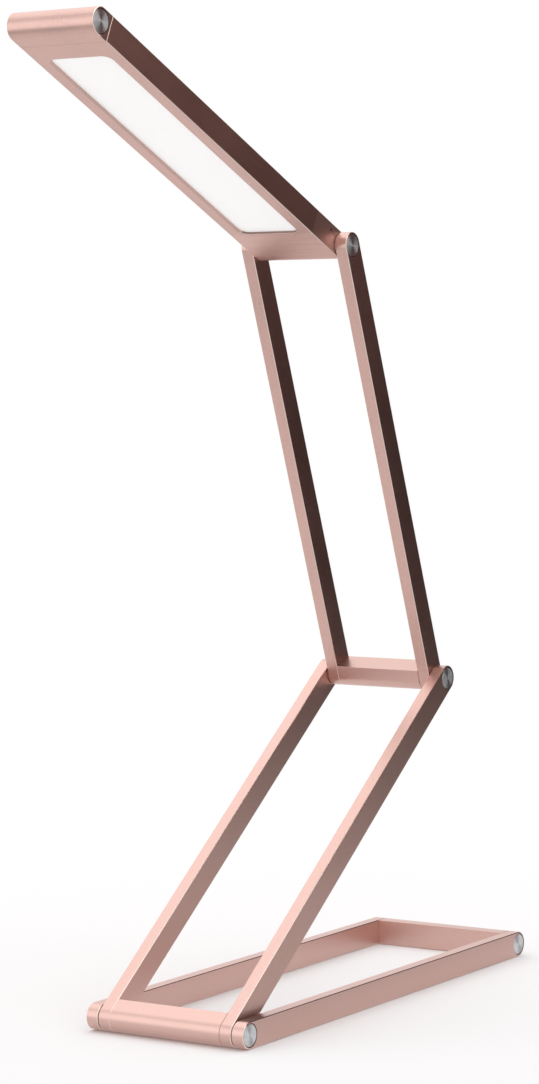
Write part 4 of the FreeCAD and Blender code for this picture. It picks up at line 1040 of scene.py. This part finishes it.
class LAMP_OT_stage(bpy.types.Operator):
    """The pale floor, the softbox, the dark flag, the reflector, the white room and the camera"""

    bl_idname = "lamp.stage"
    bl_label = "Build Studio"

    def execute(self, context):
        scene, stage = context.scene, context.scene.lamp_stage
        foot, dark, warm, top = stage.flag_foot, stage.flag_dark, stage.flag_warm, stage.flag_top
        flag = ((0.0, foot), (0.13, dark), (0.28, dark), (0.6, warm), (1.0, top))
        self.floor(scene.lamp_colours.floor, stage)
        self.area("overhead_softbox", (0.3, 0.1, 1.5), (1.8, 3.0), stage.softbox_radiance)
        self.area("bright_strip", (0.5, 0.75, 1.5), (0.5, 1.6), stage.strip_radiance)
        self.panel("dark_flag", (0.842, -0.540), 0.36, (-0.4, 0.3), flag, 1.0)
        white = ((0.0, stage.reflector), (1.0, stage.reflector))
        self.panel("white_reflector", (-0.83, 0.55), 1.3, (-0.7, 0.7), white, 1.5)
        self.room(scene, stage.world_strength)
        self.camera(scene, stage)
        scene.view_settings.view_transform = "Standard"
        return {"FINISHED"}

    def background_share(self, tree, path):
        """1 for the rays that see the background: camera, glossy and transmission rays."""
        seen = math_node(tree, "MAXIMUM", path.outputs["Is Camera Ray"], path.outputs["Is Glossy Ray"])
        return math_node(tree, "MAXIMUM", seen, path.outputs["Is Transmission Ray"])

    def floor(self, pale, stage):
        """A wide round floor at the height of the feet, white further off.

        Reflections see it lighter near the lamp's left, and darker at its right and far to its left.
        """
        shell = Shell()
        radii = (20.0, 9.0, 4.0, 2.0, 1.0, 0.5, 0.0)
        shell.chain([shell.ring(circle((0.0, 0.0), radius, TURN_STEPS)) for radius in radii])
        floor = add_object("studio_floor", shell.mesh("studio_floor"))
        material = bpy.data.materials.new("pale_floor")
        tree = empty_tree(material)
        path = add_node(tree, "LightPath")
        seen, glossy = path.outputs["Is Camera Ray"], path.outputs["Is Glossy Ray"]
        place = add_node(tree, "TexCoord").outputs["Object"]
        distance = measure(tree, "LENGTH", place)
        at_right = rise(tree, measure(tree, "DOT_PRODUCT", place, (0.0, -1.0, 0.0)), 0.03, 0.1)
        far_left = rise(tree, measure(tree, "DOT_PRODUCT", place, (-0.78, 0.62, 0.0)), 0.4, 0.72)
        right = product(tree, at_right, glossy)
        gleam = product(tree, math_node(tree, "SUBTRACT", glossy, right), stage.floor_gleam)
        dim = product(tree, right, stage.floor_dimming)
        dim = math_node(tree, "MULTIPLY_ADD", product(tree, far_left, glossy), stage.apron_dimming, dim)
        shade = blend(tree, noise(tree, place, 300.0, 3.0), 1.0, scaled(pale, 0.995), opaque(pale))
        shade = mix_colour(tree, seen, shade, scaled(pale, 1.15))
        matt = add_node(tree, "BsdfDiffuse", Color=mix_colour(tree, dim, shade, BLACK))
        white = add_node(tree, "Emission", Strength=math_node(tree, "SUBTRACT", 1.0, dim))
        far = product(tree, rise(tree, distance, 0.25, 0.9), self.background_share(tree, path))
        near = product(tree, rise(tree, distance, 0.19, 0.5), seen)
        share = math_node(tree, "MAXIMUM", math_node(tree, "MAXIMUM", far, gleam), near)
        mixed = add_node(tree, "MixShader", _0=share, _1=matt.outputs[0], _2=white.outputs[0])
        add_node(tree, "OutputMaterial", Surface=mixed.outputs[0])
        floor.data.materials.append(material)

    def area(self, name, place, size, radiance):
        """A level area light that shines down; its power is radiance x pi x area."""
        light = bpy.data.lights.new(name, "AREA")
        light.shape = "RECTANGLE"
        light.size, light.size_y = size
        light.energy = radiance * math.pi * size[0] * size[1]
        add_object(name, light).location = place

    def panel(self, name, way, distance, sideways, stops, strength):
        """An upright panel that only reflections see, square to its way from the lamp.

        Its colour runs evenly between the stops, each a height and a colour; the last is its top edge.
        """
        way = np.array(way) / np.linalg.norm(way)
        side, top = np.array((-way[1], way[0])), stops[-1][0]
        ends = [way * distance + side * reach for reach in sideways]
        corners = [(*ends[0], MM), (*ends[1], MM), (*ends[1], top), (*ends[0], top)]
        mesh = bpy.data.meshes.new(name)
        mesh.from_pydata(corners, [], [(0, 1, 2, 3)])
        material = bpy.data.materials.new(name + "_cloth")
        tree = empty_tree(material)
        place = add_node(tree, "TexCoord").outputs["Object"]
        height = add_node(tree, "SeparateXYZ", Vector=place).outputs[2]
        ramp = add_node(tree, "ValToRGB", Fac=math_node(tree, "DIVIDE", height, top))
        for order, (level, shade) in enumerate(stops):
            stop = ramp.color_ramp.elements[order] if order < 2 else ramp.color_ramp.elements.new(1.0)
            stop.position, stop.color = level / top, opaque(shade)
        cloth = add_node(tree, "Emission", Color=ramp.outputs[0], Strength=strength)
        add_node(tree, "OutputMaterial", Surface=cloth.outputs[0])
        mesh.materials.append(material)
        panel = add_object(name, mesh)
        for rays in ("camera", "diffuse", "shadow", "transmission"):
            setattr(panel, "visible_" + rays, False)

    def room(self, scene, strength):
        """An even white room: white where it is seen, and a plain even light otherwise."""
        scene.world = bpy.data.worlds.new("white_room")
        tree = empty_tree(scene.world)
        share = self.background_share(tree, add_node(tree, "LightPath"))
        level = math_node(tree, "MULTIPLY_ADD", share, 1.0 - strength, strength)
        light = add_node(tree, "Background", Color=WHITE, Strength=level)
        add_node(tree, "OutputWorld", Surface=light.outputs[0])

    def camera(self, scene, stage):
        """The camera at the photograph's viewpoint: its back axis by azimuth and elevation, then its roll."""
        level = math.cos(stage.elevation)
        east, north = math.sin(stage.azimuth) * level, -math.cos(stage.azimuth) * level
        back = Vector((east, north, math.sin(stage.elevation)))
        right = Vector((0.0, 0.0, 1.0)).cross(back).normalized()
        up = back.cross(right)
        cosine, sine = math.cos(stage.roll), math.sin(stage.roll)
        axes = (right * cosine + up * sine, up * cosine - right * sine, back)
        data = bpy.data.cameras.new("photograph_view")
        data.lens, data.sensor_width, data.clip_end = stage.lens, 36.0, 100.0
        scene.camera = add_object("photograph_view", data)
        scene.camera.matrix_world = Matrix.Translation(stage.place) @ Matrix(axes).transposed().to_4x4()


# ---------------------------------------------------------------- panel and registration


PIECES = (
    LAMP_OT_rails,
    LAMP_OT_bars,
    LAMP_OT_discs,
    LAMP_OT_head,
    LAMP_OT_panel,
    LAMP_OT_socket,
    LAMP_OT_feet,
    LAMP_OT_hardware,
    LAMP_OT_stage,
)
SETTINGS = (("lamp_sizes", LampSizes), ("lamp_colours", LampColours), ("lamp_stage", LampStage))


class LAMP_PT_sidebar(bpy.types.Panel):
    """Builds the lamp piece by piece and shows its settings"""

    bl_idname = "LAMP_PT_sidebar"
    bl_label = "Accordion Desk Lamp"
    bl_space_type = "VIEW_3D"
    bl_region_type = "UI"
    bl_category = "Desk Lamp"

    def draw(self, context):
        for piece in PIECES:
            self.layout.operator(piece.bl_idname)
        for key, group in SETTINGS:
            box = self.layout.box()
            for setting in group.__annotations__:
                box.prop(getattr(context.scene, key), setting)


def register():
    """Make the settings, the operators and the sidebar known to Blender."""
    for key, group in SETTINGS:
        bpy.utils.register_class(group)
        setattr(bpy.types.Scene, key, PointerProperty(type=group))
    for piece in PIECES + (LAMP_PT_sidebar,):
        bpy.utils.register_class(piece)


def unregister():
    """Take everything out again."""
    for piece in PIECES + (LAMP_PT_sidebar,):
        bpy.utils.unregister_class(piece)
    for key, group in SETTINGS:
        delattr(bpy.types.Scene, key)
        bpy.utils.unregister_class(group)


def main():
    """Register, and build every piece."""
    register()
    for piece in PIECES:
        getattr(bpy.ops.lamp, piece.bl_idname.split(".")[1])()


if __name__ == "__main__":
    main()
